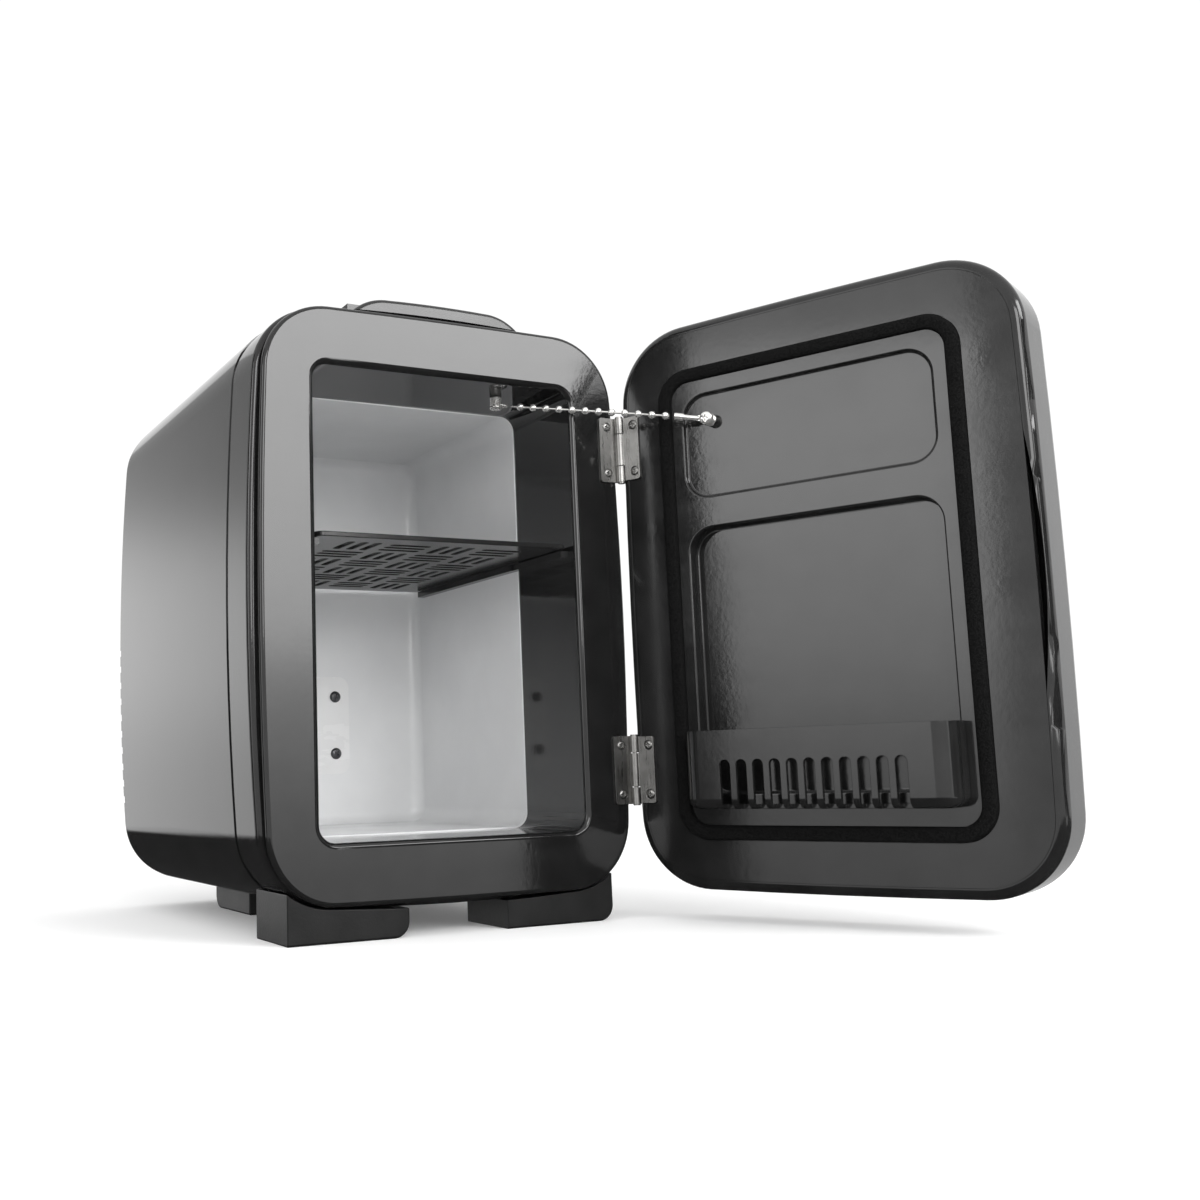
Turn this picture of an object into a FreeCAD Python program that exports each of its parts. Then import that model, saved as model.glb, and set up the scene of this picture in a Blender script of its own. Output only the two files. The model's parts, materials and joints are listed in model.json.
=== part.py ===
import FreeCAD, Part
import math
import os

from FreeCAD import Vector

os.makedirs("parts", exist_ok=True)

# Small thermoelectric fridge, millimetres.
# X runs right seen from the front, Y runs into the depth, Z is up.
# Y = 0 is the flat front of the cabinet and Z = 0 is the surface it stands on.
# The door is drawn shut and then swung open by doorOpenAngle, which is the rest pose.

# Overall sizes: the rest follows from these
caseHalfWidth = 94.2
caseHalfHeight = 130.5
shellDepth = 183.6
doorDepth = 34.0
footLift = 12.0
mid = footLift + caseHalfHeight
caseTop = mid + caseHalfHeight

# Cabinet case
caseCornerRadius = 33.0
caseSideCrown = 1500.0
caseTopCrown = 900.0
caseWall = 2.6
bandFront = 4.7
bandDepth = 26.6
partingGap = 0.4
bandInset = 0.5
bandLead = 2.4
bandLip = 11.0
caseBack = bandFront + bandDepth + partingGap + shellDepth

# Front frame and the cold space behind it
frameHalfWidth = caseHalfWidth - 4.2
frameHalfHeight = caseHalfHeight - 2.2
framePlate = 2.4
frameEdge = 2.0
frameCorner = caseCornerRadius - 2.0
frameSideCrown = 2200.0
frameTopCrown = 4000.0
mouthHalfWidth = frameHalfWidth - 25.4
mouthHalfHeight = frameHalfHeight - 26.3
mouthCorner = 7.5
mouthRoll = 2.5
mouthLip = 1.5
collarWall = 2.0
collarDepth = 53.0
seamInset = 1.4
seamWidth = 4.0
linerStep = 0.6
linerWall = 1.6
linerCorner = 8.0
linerDepth = shellDepth - 66.6
foamGap = 0.5
foamBack = 17.0
linerHalfWidth = mouthHalfWidth - linerStep
linerHalfHeight = mouthHalfHeight - linerStep
linerFront = collarDepth
linerBack = linerFront + linerDepth
foamEnd = linerBack + linerWall + foamBack

# Cooling parts behind the cold space
coldPlateHalfWidth = 21.0
coldPlateHeight = 53.0
coldPlateThick = 1.6
coldPlateStep = 3.4
coldScrewX = 12.5
coldScrewSpan = 31.0
moduleSide = 40.0
moduleThick = 3.6
coldBlockSide = 46.0
heatSinkSide = 84.0
heatSinkBase = 3.0
finCount = 15
finThick = 1.0
finDepth = 11.0
fanSide = 80.0
fanRise = 12.5
controlHeight = mid - caseHalfHeight + 19.0
inletHalfHeight = 11.5
coldPlateMiddle = controlHeight + inletHalfHeight + fanRise + fanSide / 2
fanThick = 13.0
fanBore = 37.5
fanHub = 16.0
fanTip = 1.2
fanAxle = 1.5
fanAxleFit = 0.05
bladeCount = 7
boardHalfWidth = 36.0
boardLow = mid + 27.5
boardHigh = mid + 71.5
boardThick = 1.6
boardLift = 5.0

# Rear cover and its openings
coverDepth = 14.0
coverWall = 2.4
coverEdge = 9.0
coverInset = 0.3
ventCount = 10
ventPitch = 8.9
ventHeight = 3.6
ventLow = coldPlateMiddle - 37.5
ventBridge = 7.0
coverScrewX = caseHalfWidth - 24.2
coverScrewLow = mid - caseHalfHeight + 24.0
coverScrewHigh = mid + caseHalfHeight - 37.0
coverBack = caseBack + coverDepth

# Door
doorGap = 2.9
doorHalfWidth = caseHalfWidth - 1.7
doorShift = -1.8
doorHalfHeight = caseHalfHeight - 1.6
doorSideCrown = 4000.0
doorTopCrown = 4000.0
doorBackEdge = 4.0
doorFrontEdge = 11.0
doorWall = 2.6
doorOpenAngle = 114.35
panelFace = -doorGap
panelInset = 0.6
panelPlate = 4.6
panelSeat = 0.15
panelBack = 2.4
gasketHalfWidth = mouthHalfWidth + 4.0
gasketHalfHeight = mouthHalfHeight + 4.7
gasketWidth = 6.2
gasketCorner = 15.0
gasketRoom = 0.2
channelDepth = 2.6
gasketRelief = 0.4
recessHalfWidth = mouthHalfWidth - 8.1
recessCorner = 11.0
upperRecessLow = mid + 0.45 * mouthHalfHeight
upperRecessHigh = mid + mouthHalfHeight - 8.5
upperRecessDepth = 2.0
lowerRecessLow = mid - mouthHalfHeight + 15.5
lowerRecessHigh = upperRecessLow - 14.0
lowerRecessDepth = 7.0
recessRim = 0.8
recessToe = 1.0
gripHeight = 130.0
gripMiddle = mid + 1.0
gripWidth = 5.4
gripBulge = 1.2
gripDepth = 10.0
gripIn = 3.0

# Door bin
binHalfWidth = recessHalfWidth + 2.1
binLow = lowerRecessLow - 6.4
binHigh = binLow + 33.6
binReach = 15.6
binWall = 2.0
binCorner = 8.5
binToe = 4.5
binSeat = 0.05
binTongue = 0.3
slotCount = 11
slotPitch = 0.129 * binHalfWidth
slotWidth = 4.8
slotTop = binHigh - 12.8

# Hinges
hingeX = frameHalfWidth + 0.2
hingeY = -2.4
hingeHeight = 31.0
upperHinge = mid + caseHalfHeight - 55.8
lowerHinge = mid - caseHalfHeight + 55.0
leafReach = 10.2
leafThick = 1.0
knuckleRadius = 2.1
pinRadius = 1.0
pinClearance = 0.05
knuckleGap = 0.3
knuckleRoom = 0.5
hingeScrewSpan = 22.2
cabinetScrewIn = 6.2
doorScrewIn = 7.5
hingeScrewHead = 2.1
hingeScrewSink = 0.45
hingeSinkRoom = 0.06

# Door chain
anchorX = mouthHalfWidth - 27.1
anchorY = 22.5
anchorHead = 3.1
chainDrop = 4.0
chainDoorIn = 46.6
chainDoorHeight = upperRecessHigh - 12.2
ballRadius = 1.75
ballsPerLink = 3
linkCount = 4
wireRadius = 0.5
firstPivot = 5.6
pivotRadius = 1.25
firstBall = 12.03
claspReach = 18.6
claspRise = 2.0
claspGap = 2.2
eyeRadius = 3.0
eyeHalf = 0.5
chainShank = 1.2
chainShankFit = 0.08
chainSeat = 0.1
chainRoom = 0.2

# Shelf
shelfHalfWidth = mouthHalfWidth - 2.0
shelfFront = 4.0
shelfLength = linerBack - 12.0
shelfPlate = 2.2
shelfUnder = mid + 26.9
weaveCell = 23.4
weaveSlot = 3.4
weavePitch = 6.5
weaveBorder = 4.5
weaveRib = 3.4
railDepth = 4.0
railHeight = 3.0
railSlack = 0.4
railFit = 0.02

# Carry handle
handleHalfWidth = caseHalfWidth - 52.2
handleFront = 7.0
handleReach = 82.0
handleBar = 15.0
handleArm = 9.0
handleThick = 5.0
handleLift = 1.0
handleRise = 1.2
handleEnd = 17.0
handleRound = 2.0
handlePin = 2.4
handlePinFit = 0.06
handleCheek = 4.0
cheekRound = 3.4
handleSide = 0.5

# Feet
footLong = 55.0
footWide = 38.0
footOuter = caseHalfWidth - 15.6
footFront = 3.0
rearFootSide = 50.0
rearFootBack = caseBack - 27.3
footRound = 7.0
footHigh = 14.0
footFit = 0.1

# Controls on the rear cover
switchX = 46.0
inletX = -44.0
dcX = -12.0
rockerTilt = 8.0


def save(shape, name):
    shape.exportStep("parts/" + name + ".step")


def box(x0, x1, y0, y1, z0, z1):
    return Part.makeBox(x1 - x0, y1 - y0, z1 - z0, Vector(x0, y0, z0))


def rod(radius, start, end):
    line = end - start
    return Part.makeCylinder(radius, line.Length, start, line)


def crowned(halfW, halfH, corner, sideR, topR, y, depth, shift=0.0):
    """Rounded section whose four sides are slightly bowed, drawn out along Y."""
    sideC = halfW - sideR
    topC = halfH - topR
    a = sideR - corner
    b = topR - corner
    # The corner centre is a from the side arc's centre and b from the top arc's centre.
    gap = math.hypot(sideC, topC)
    along = (a * a - b * b + gap * gap) / (2.0 * gap)
    off = math.sqrt(max(a * a - along * along, 0.0))
    ux = -sideC / gap
    uz = topC / gap
    cx = sideC + along * ux - off * uz
    cz = along * uz + off * ux
    sideAngle = math.atan2(cz, cx - sideC)
    topAngle = math.atan2(cz - topC, cx)
    mids = 0.5 * (sideAngle + topAngle)
    sx = sideC + sideR * math.cos(sideAngle)
    sz = sideR * math.sin(sideAngle)
    tx = topR * math.cos(topAngle)
    tz = topC + topR * math.sin(topAngle)
    mx = cx + corner * math.cos(mids)
    mz = cz + corner * math.sin(mids)

    def p(x, z):
        return Vector(shift + x, y, mid + z)

    edges = [
        Part.Arc(p(sx, -sz), p(halfW, 0), p(sx, sz)).toShape(),
        Part.Arc(p(sx, sz), p(mx, mz), p(tx, tz)).toShape(),
        Part.Arc(p(tx, tz), p(0, halfH), p(-tx, tz)).toShape(),
        Part.Arc(p(-tx, tz), p(-mx, mz), p(-sx, sz)).toShape(),
        Part.Arc(p(-sx, sz), p(-halfW, 0), p(-sx, -sz)).toShape(),
        Part.Arc(p(-sx, -sz), p(-mx, -mz), p(-tx, -tz)).toShape(),
        Part.Arc(p(-tx, -tz), p(0, -halfH), p(tx, -tz)).toShape(),
        Part.Arc(p(tx, -tz), p(mx, -mz), p(sx, -sz)).toShape(),
    ]
    face = Part.Face(Part.Wire(edges))
    return face.extrude(Vector(0, depth, 0))


def caseSection(inset, y, depth):
    """Case outline moved inwards by inset."""
    return crowned(caseHalfWidth - inset, caseHalfHeight - inset, caseCornerRadius - inset,
                   caseSideCrown - inset, caseTopCrown - inset, y, depth)


def frameSection(inset, y, depth):
    """Front frame outline moved inwards by inset."""
    return crowned(frameHalfWidth - inset, frameHalfHeight - inset, frameCorner - inset,
                   frameSideCrown - inset, frameTopCrown - inset, y, depth)


def doorSection(inset, y, depth):
    """Door outline moved inwards by inset."""
    return crowned(doorHalfWidth - inset, doorHalfHeight - inset, caseCornerRadius - inset,
                   doorSideCrown - inset, doorTopCrown - inset, y, depth, doorShift)


def roundBox(x0, x1, y0, y1, z0, z1, corner):
    """Box whose four edges along Y are rounded."""
    body = box(x0, x1, y0, y1, z0, z1)
    if corner <= 0:
        return body
    edges = [e for e in body.Edges if abs(e.tangentAt(e.FirstParameter).y) > 0.99]
    return body.makeFillet(corner, edges)


def edgesNear(shape, y, tol=1e-4):
    """Edges that lie in the plane of that Y."""
    return [e for e in shape.Edges
            if abs(e.BoundBox.YMin - y) < tol and abs(e.BoundBox.YMax - y) < tol]


def swing(shape):
    """Door pieces turn from shut to the open rest pose."""
    turned = shape.copy()
    turned.rotate(Vector(hingeX, hingeY, 0), Vector(0, 0, 1), doorOpenAngle)
    return turned


def swingPoint(x, y, z):
    a = math.radians(doorOpenAngle)
    dx = x - hingeX
    dy = y - hingeY
    return Vector(hingeX + dx * math.cos(a) - dy * math.sin(a),
                  hingeY + dx * math.sin(a) + dy * math.cos(a), z)


def panScrew(headRadius, headHigh, shankRadius, shankLong, at, out):
    """Cross-head screw: at is the middle of the seat under the head, out points away from it."""
    head = Part.makeCylinder(headRadius, headHigh, Vector(0, 0, 0), Vector(0, 0, 1))
    rim = [e for e in head.Edges if e.BoundBox.ZMin > headHigh - 1e-6]
    head = head.makeFillet(0.45 * headHigh, rim)
    armLong = headRadius * 1.15
    armWide = headRadius * 0.28
    deep = headHigh * 0.55
    cross = Part.makeBox(armLong, armWide, deep + 1, Vector(-armLong / 2, -armWide / 2, headHigh - deep))
    cross = cross.fuse(Part.makeBox(armWide, armLong, deep + 1,
                                    Vector(-armWide / 2, -armLong / 2, headHigh - deep)))
    head = head.cut(cross)
    shank = Part.makeCylinder(shankRadius, shankLong, Vector(0, 0, -shankLong), Vector(0, 0, 1))
    screw = head.fuse(shank).removeSplitter()
    screw.Placement = FreeCAD.Placement(at, FreeCAD.Rotation(Vector(0, 0, 1), out))
    return screw


# Front frame: bezel with a rolled mouth that runs back as the collar.
def makeFrontFrame():
    plate = frameSection(0, 0, framePlate)
    plate = plate.makeFillet(frameEdge, edgesNear(plate, 0))
    w = mouthHalfWidth + collarWall
    h = mouthHalfHeight + collarWall
    outer = roundBox(-w, w, 0.5 * framePlate, collarDepth, mid - h, mid + h, mouthCorner + collarWall)
    out = mouthRoll + mouthLip
    roll = roundBox(-mouthHalfWidth - out, mouthHalfWidth + out, 0.5 * framePlate, mouthRoll + 2.0,
                    mid - mouthHalfHeight - out, mid + mouthHalfHeight + out, mouthCorner + out)
    body = plate.fuse([outer, roll]).removeSplitter()
    mouth = roundBox(-mouthHalfWidth, mouthHalfWidth, -5, collarDepth + 5,
                     mid - mouthHalfHeight, mid + mouthHalfHeight, mouthCorner)
    body = body.cut(mouth)
    rim = [e for e in edgesNear(body, 0)
           if max(abs(e.BoundBox.XMin), abs(e.BoundBox.XMax)) < mouthHalfWidth + 1]
    body = body.makeFillet(mouthRoll, rim)
    for z in hingeScrewHeights():
        body = body.cut(cabinetScrewHole(z, 1.1))
    body = body.cut(rod(1.3, Vector(anchorX, anchorY, mid + mouthHalfHeight - 1),
                        Vector(anchorX, anchorY, mid + mouthHalfHeight + collarWall + 2)))
    return body


def cabinetScrewHole(z, radius):
    x = hingeX - cabinetScrewIn
    return rod(radius, Vector(x, -5, z), Vector(x, bandFront + caseWall + 1, z))


def hingeScrewHeights():
    return [middle + side * hingeScrewSpan for middle in (upperHinge, lowerHinge) for side in (-0.5, 0.5)]


def makeFrontSeam():
    long = bandFront - framePlate
    seam = frameSection(seamInset, framePlate, long)
    seam = seam.cut(frameSection(seamInset + seamWidth, framePlate - 1, long + 2))
    for z in hingeScrewHeights():
        seam = seam.cut(cabinetScrewHole(z, 1.4))
    return seam


def makeFrontBand():
    outer = caseSection(bandInset, bandFront, bandDepth)
    outer = outer.makeFillet(bandLead, edgesNear(outer, bandFront))
    lip = caseSection(bandInset + bandLip, bandFront - 1, caseWall + 1.01)
    inner = caseSection(bandInset + caseWall, bandFront + caseWall, bandDepth)
    band = outer.cut(lip).cut(inner)
    for z in hingeScrewHeights():
        band = band.cut(cabinetScrewHole(z, 1.4))
    return band


def makeRearShell():
    start = bandFront + bandDepth + partingGap
    return caseSection(0, start, shellDepth).cut(caseSection(caseWall, start - 1, shellDepth + 2))


def makeRearCover():
    outer = caseSection(coverInset, caseBack, coverDepth)
    outer = outer.makeFillet(coverEdge, edgesNear(outer, coverBack))
    inner = caseSection(coverInset + coverWall, caseBack - 1, coverDepth + 1 - coverWall)
    inner = inner.makeFillet(coverEdge - coverWall, edgesNear(inner, coverBack - coverWall))
    cover = outer.cut(inner)
    half = caseHalfWidth + 5
    for i in range(ventCount):
        z = ventLow + i * ventPitch
        for side in (-1, 1):
            slot = box(ventBridge / 2, half, caseBack + 4.0, coverBack + 5,
                       z - ventHeight / 2, z + ventHeight / 2)
            if side < 0:
                slot = slot.mirror(Vector(0, 0, 0), Vector(1, 0, 0))
            cover = cover.cut(slot)
    for x, wide, high in ((switchX, 14.0, 20.0), (inletX, 24.0, 19.0)):
        cover = cover.cut(box(x - wide / 2, x + wide / 2, caseBack, coverBack + 5,
                              controlHeight - high / 2, controlHeight + high / 2))
    cover = cover.cut(rod(5.2, Vector(dcX, caseBack, controlHeight),
                          Vector(dcX, coverBack + 5, controlHeight)))
    for x, z in coverScrewPlaces():
        cover = cover.cut(rod(1.6, Vector(x, caseBack, z), Vector(x, coverBack + 5, z)))
    return cover


def coverScrewPlaces():
    return [(s * coverScrewX, z) for s in (-1, 1) for z in (coverScrewLow, coverScrewHigh)]


def makeCoverScrews():
    screws = [panScrew(3.0, 1.6, 1.5, 9.0, Vector(x, coverBack, z), Vector(0, 1, 0))
              for x, z in coverScrewPlaces()]
    return Part.makeCompound(screws)


def makeLiner():
    w = linerHalfWidth
    h = linerHalfHeight
    t = linerWall
    outer = roundBox(-w - t, w + t, linerFront, linerBack + t, mid - h - t, mid + h + t, linerCorner + t)
    inner = roundBox(-w, w, linerFront - 1, linerBack, mid - h, mid + h, linerCorner)
    inner = inner.makeFillet(linerCorner - 2.0, edgesNear(inner, linerBack))
    liner = outer.cut(inner)
    return liner.cut(coldScrewHoles(1.7))


def coldScrewPlaces():
    return [(s * coldScrewX, coldPlateMiddle + k * coldScrewSpan / 2) for s in (-1, 1) for k in (-1, 1)]


def coldScrewHoles(radius):
    holes = [rod(radius, Vector(x, linerBack - 4, z), Vector(x, foamEnd + 1, z))
             for x, z in coldScrewPlaces()]
    return Part.makeCompound(holes)


def makeColdPlate():
    w = coldPlateHalfWidth
    z0 = coldPlateMiddle - coldPlateHeight / 2
    z1 = coldPlateMiddle + coldPlateHeight / 2
    lower = roundBox(-w, w, linerBack - coldPlateThick / 2, linerBack, z0, z1, 6.0)
    s = coldPlateStep
    upper = roundBox(-w + s, w - s, linerBack - coldPlateThick, linerBack - coldPlateThick / 2,
                     z0 + s, z1 - s, 4.5)
    return lower.fuse(upper).removeSplitter().cut(coldScrewHoles(1.7))


def makeColdScrews():
    seat = linerBack - coldPlateThick
    screws = [panScrew(3.1, 1.7, 1.6, 12.0, Vector(x, seat, z), Vector(0, -1, 0))
              for x, z in coldScrewPlaces()]
    return Part.makeCompound(screws)


def makeColdBlock():
    s = coldBlockSide / 2
    block = roundBox(-s, s, linerBack + linerWall, foamEnd, coldPlateMiddle - s, coldPlateMiddle + s, 3.0)
    return block.cut(coldScrewHoles(1.6))


def makeModule():
    s = moduleSide / 2
    return roundBox(-s, s, foamEnd, foamEnd + moduleThick, coldPlateMiddle - s, coldPlateMiddle + s, 1.0)


def makeHeatSink():
    s = heatSinkSide / 2
    y0 = foamEnd + moduleThick
    base = box(-s, s, y0, y0 + heatSinkBase, coldPlateMiddle - s, coldPlateMiddle + s)
    step = (heatSinkSide - finThick) / (finCount - 1)
    fins = [box(-s + i * step, -s + i * step + finThick, y0 + heatSinkBase, y0 + heatSinkBase + finDepth,
                coldPlateMiddle - s, coldPlateMiddle + s) for i in range(finCount)]
    return base.fuse(fins).removeSplitter()


def fanFront():
    return foamEnd + moduleThick + heatSinkBase + finDepth


def makeFanFrame():
    s = fanSide / 2
    y0 = fanFront()
    frame = roundBox(-s, s, y0, y0 + fanThick, coldPlateMiddle - s, coldPlateMiddle + s, 4.0)
    frame = frame.cut(rod(fanBore, Vector(0, y0 - 1, coldPlateMiddle),
                          Vector(0, y0 + fanThick + 1, coldPlateMiddle)))
    hub = rod(fanHub - 1.0, Vector(0, y0 + fanThick - 2.0, coldPlateMiddle),
              Vector(0, y0 + fanThick, coldPlateMiddle))
    arms = []
    for k in range(4):
        arm = box(fanHub - 3.0, fanBore + 1.0, y0 + fanThick - 2.0, y0 + fanThick,
                  coldPlateMiddle - 1.5, coldPlateMiddle + 1.5)
        arm.rotate(Vector(0, 0, coldPlateMiddle), Vector(0, 1, 0), 45 + 90 * k)
        arms.append(arm)
    axle = rod(fanAxle, Vector(0, y0 + 3.0, coldPlateMiddle),
               Vector(0, y0 + fanThick - 1.0, coldPlateMiddle))
    return frame.fuse(arms + [hub, axle]).removeSplitter()


def makeFanRotor():
    y0 = fanFront()
    hub = rod(fanHub, Vector(0, y0 + 1.0, coldPlateMiddle),
              Vector(0, y0 + fanThick - 2.6, coldPlateMiddle))
    blades = []
    reach = fanBore - fanTip
    for k in range(bladeCount):
        blade = box(fanHub - 1.5, reach, y0 + 1.6, y0 + 8.6, coldPlateMiddle - 0.7, coldPlateMiddle + 0.7)
        blade.rotate(Vector(fanHub, y0 + 5.1, coldPlateMiddle), Vector(1, 0, 0), 42)
        blade = blade.common(rod(reach, Vector(0, y0, coldPlateMiddle),
                                 Vector(0, y0 + fanThick, coldPlateMiddle)))
        blade.rotate(Vector(0, 0, coldPlateMiddle), Vector(0, 1, 0), 360.0 * k / bladeCount)
        blades.append(blade)
    rotor = hub.fuse(blades).removeSplitter()
    return rotor.cut(rod(fanAxle + fanAxleFit, Vector(0, y0 + 2.9, coldPlateMiddle),
                         Vector(0, y0 + fanThick, coldPlateMiddle)))


def makeCabinetFoam():
    y0 = bandFront + caseWall + foamGap
    outer = caseSection(bandInset + caseWall + foamGap, y0, foamEnd - y0)
    g = foamGap
    w = mouthHalfWidth + collarWall + g
    h = mouthHalfHeight + collarWall + g
    throat = roundBox(-w, w, y0 - 1, linerFront + 1, mid - h, mid + h, mouthCorner + collarWall)
    w = linerHalfWidth + linerWall + g
    h = linerHalfHeight + linerWall + g
    room = roundBox(-w, w, y0 - 1, linerBack + linerWall + g, mid - h, mid + h, linerCorner)
    s = coldBlockSide / 2 + g
    well = box(-s, s, linerBack, foamEnd + 1, coldPlateMiddle - s, coldPlateMiddle + s)
    return outer.cut(throat).cut(room).cut(well).cut(anchorWell())


def anchorWell():
    return rod(3.0, Vector(anchorX, anchorY, mid + mouthHalfHeight),
               Vector(anchorX, anchorY, mid + mouthHalfHeight + 12))


# Shelf with a basket-weave of slots, and its two rails.
def makeShelf():
    x1 = shelfHalfWidth
    y0 = shelfFront
    y1 = shelfFront + shelfLength
    z0 = shelfUnder
    plate = box(-x1, x1, y0, y1, z0, z0 + shelfPlate)
    corners = [e for e in plate.Edges if abs(e.tangentAt(e.FirstParameter).z) > 0.99]
    plate = plate.makeFillet(4.0, corners)
    cols = int((2 * x1 - 2 * weaveBorder) // weaveCell)
    rows = int((shelfLength - 2 * weaveBorder) // weaveCell)
    left = -cols * weaveCell / 2
    front = (y0 + y1) / 2 - rows * weaveCell / 2
    slotLong = weaveCell - weaveRib
    slots = []
    for i in range(cols):
        for j in range(rows):
            cx = left + (i + 0.5) * weaveCell
            cy = front + (j + 0.5) * weaveCell
            for k in (-1, 0, 1):
                if (i + j) % 2:
                    y = cy + k * weavePitch
                    slots.append(box(cx - slotLong / 2, cx + slotLong / 2, y - weaveSlot / 2,
                                     y + weaveSlot / 2, z0 - 1, z0 + shelfPlate + 1))
                else:
                    x = cx + k * weavePitch
                    slots.append(box(x - weaveSlot / 2, x + weaveSlot / 2, cy - slotLong / 2,
                                     cy + slotLong / 2, z0 - 1, z0 + shelfPlate + 1))
    return plate.cut(Part.makeCompound(slots))


def makeShelfRail(side):
    z0 = shelfUnder - railSlack - railHeight
    y0 = shelfFront + 3.0
    y1 = linerFront - 1.0
    x1 = mouthHalfWidth - railFit
    rail = box(x1 - railDepth, x1, y0, y1, z0, z0 + railHeight)
    x2 = linerHalfWidth - railFit
    inner = box(x2 - railDepth, x2, y1, shelfFront + shelfLength - 4.0, z0, z0 + railHeight)
    rail = rail.fuse(inner).removeSplitter()
    if side < 0:
        rail = rail.mirror(Vector(0, 0, 0), Vector(1, 0, 0))
    return rail


# Butt hinges
def knuckle(z0, z1):
    return rod(knuckleRadius, Vector(hingeX, hingeY, z0), Vector(hingeX, hingeY, z1))


def leafHoles(leaf, middle, bare, out, screwIn):
    """Screw holes with seats sunk in the bare face, which looks along out."""
    x = hingeX - screwIn
    for side in (-0.5, 0.5):
        z = middle + side * hingeScrewSpan
        leaf = leaf.cut(rod(1.15, Vector(x, bare - 3, z), Vector(x, bare + 3, z)))
        leaf = leaf.cut(rod(hingeScrewHead + hingeSinkRoom, Vector(x, bare - out * hingeScrewSink, z),
                            Vector(x, bare + out * 3, z)))
    return leaf


def roundLeaf(plate):
    edges = [e for e in plate.Edges
             if abs(e.tangentAt(e.FirstParameter).y) > 0.99 and e.BoundBox.XMax < hingeX - 1]
    return plate.makeFillet(1.2, edges)


def makeCabinetLeaf(middle):
    z0 = middle - hingeHeight / 2
    z1 = middle + hingeHeight / 2
    quarter = hingeHeight / 4
    plate = box(hingeX - leafReach, hingeX, -leafThick, 0, z0, z1)
    plate = roundLeaf(plate)
    room = rod(knuckleRadius + 0.25, Vector(hingeX, hingeY, z0 + quarter - knuckleGap / 2),
               Vector(hingeX, hingeY, z1 - quarter + knuckleGap / 2))
    leaf = plate.cut(room).fuse([knuckle(z0, z0 + quarter - knuckleGap / 2),
                                 knuckle(z1 - quarter + knuckleGap / 2, z1)])
    tab = box(hingeX - 0.5, hingeX + 5, -leafThick, 0, z0 + quarter - knuckleGap / 2,
              z1 - quarter + knuckleGap / 2)
    leaf = leaf.cut(tab)
    leaf = leaf.cut(rod(pinRadius, Vector(hingeX, hingeY, z0 - 1), Vector(hingeX, hingeY, z1 + 1)))
    return leafHoles(leaf.removeSplitter(), middle, -leafThick, -1, cabinetScrewIn)


def makeDoorLeaf(middle):
    z0 = middle - hingeHeight / 2
    z1 = middle + hingeHeight / 2
    quarter = hingeHeight / 4
    plate = box(hingeX - leafReach, hingeX, panelFace, panelFace + leafThick, z0 + 0.4, z1 - 0.4)
    plate = roundLeaf(plate)
    for low, high in ((z0 - 1, z0 + quarter + knuckleGap / 2), (z1 - quarter - knuckleGap / 2, z1 + 1)):
        plate = plate.cut(rod(knuckleRadius + 0.3, Vector(hingeX, hingeY, low), Vector(hingeX, hingeY, high)))
        plate = plate.cut(box(hingeX - 0.4, hingeX + 5, panelFace - 1, panelFace + 3, low, high))
    leaf = plate.fuse(knuckle(z0 + quarter + knuckleGap / 2, z1 - quarter - knuckleGap / 2))
    leaf = leaf.cut(rod(pinRadius + pinClearance, Vector(hingeX, hingeY, z0 - 1),
                        Vector(hingeX, hingeY, z1 + 1)))
    return swing(leafHoles(leaf.removeSplitter(), middle, panelFace + leafThick, 1, doorScrewIn))


def makeHingePin(middle):
    z0 = middle - hingeHeight / 2
    z1 = middle + hingeHeight / 2
    pin = rod(pinRadius, Vector(hingeX, hingeY, z0), Vector(hingeX, hingeY, z1))
    caps = [rod(knuckleRadius * 0.8, Vector(hingeX, hingeY, z0 - 0.6), Vector(hingeX, hingeY, z0)),
            rod(knuckleRadius * 0.8, Vector(hingeX, hingeY, z1), Vector(hingeX, hingeY, z1 + 0.6))]
    return pin.fuse(caps).removeSplitter()


def makeCabinetHingeScrews():
    screws = []
    for z in hingeScrewHeights():
        at = Vector(hingeX - cabinetScrewIn, hingeScrewSink - leafThick, z)
        screws.append(panScrew(hingeScrewHead, 0.7, 1.05, 6.5, at, Vector(0, -1, 0)))
    return Part.makeCompound(screws)


def makeDoorHingeScrews():
    screws = []
    for z in hingeScrewHeights():
        at = Vector(hingeX - doorScrewIn, panelFace + leafThick - hingeScrewSink, z)
        screws.append(panScrew(hingeScrewHead, 0.7, 1.05, 5.0, at, Vector(0, 1, 0)))
    return swing(Part.makeCompound(screws))


# Door
def knuckleNotches(shape):
    for middle in (upperHinge, lowerHinge):
        z0 = middle - hingeHeight / 2 - 1.4
        z1 = middle + hingeHeight / 2 + 1.4
        shape = shape.cut(rod(knuckleRadius + knuckleRoom, Vector(hingeX, hingeY, z0),
                              Vector(hingeX, hingeY, z1)))
    return shape


def gripPocket():
    """Finger scoop along the free edge, a shallow lens seen from inside."""
    x0 = doorShift - (doorHalfWidth - doorBackEdge) + gripIn
    z0 = gripMiddle - gripHeight / 2
    z1 = gripMiddle + gripHeight / 2
    inner = Part.Arc(Vector(x0, 0, z0), Vector(x0 + gripBulge, 0, gripMiddle), Vector(x0, 0, z1)).toShape()
    outer = Part.Arc(Vector(x0, 0, z1), Vector(x0 - gripWidth, 0, gripMiddle), Vector(x0, 0, z0)).toShape()
    lens = Part.Face(Part.Wire([inner, outer])).extrude(Vector(0, gripDepth + 5, 0))
    lens.translate(Vector(0, panelFace - gripDepth, 0))
    return lens


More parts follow.
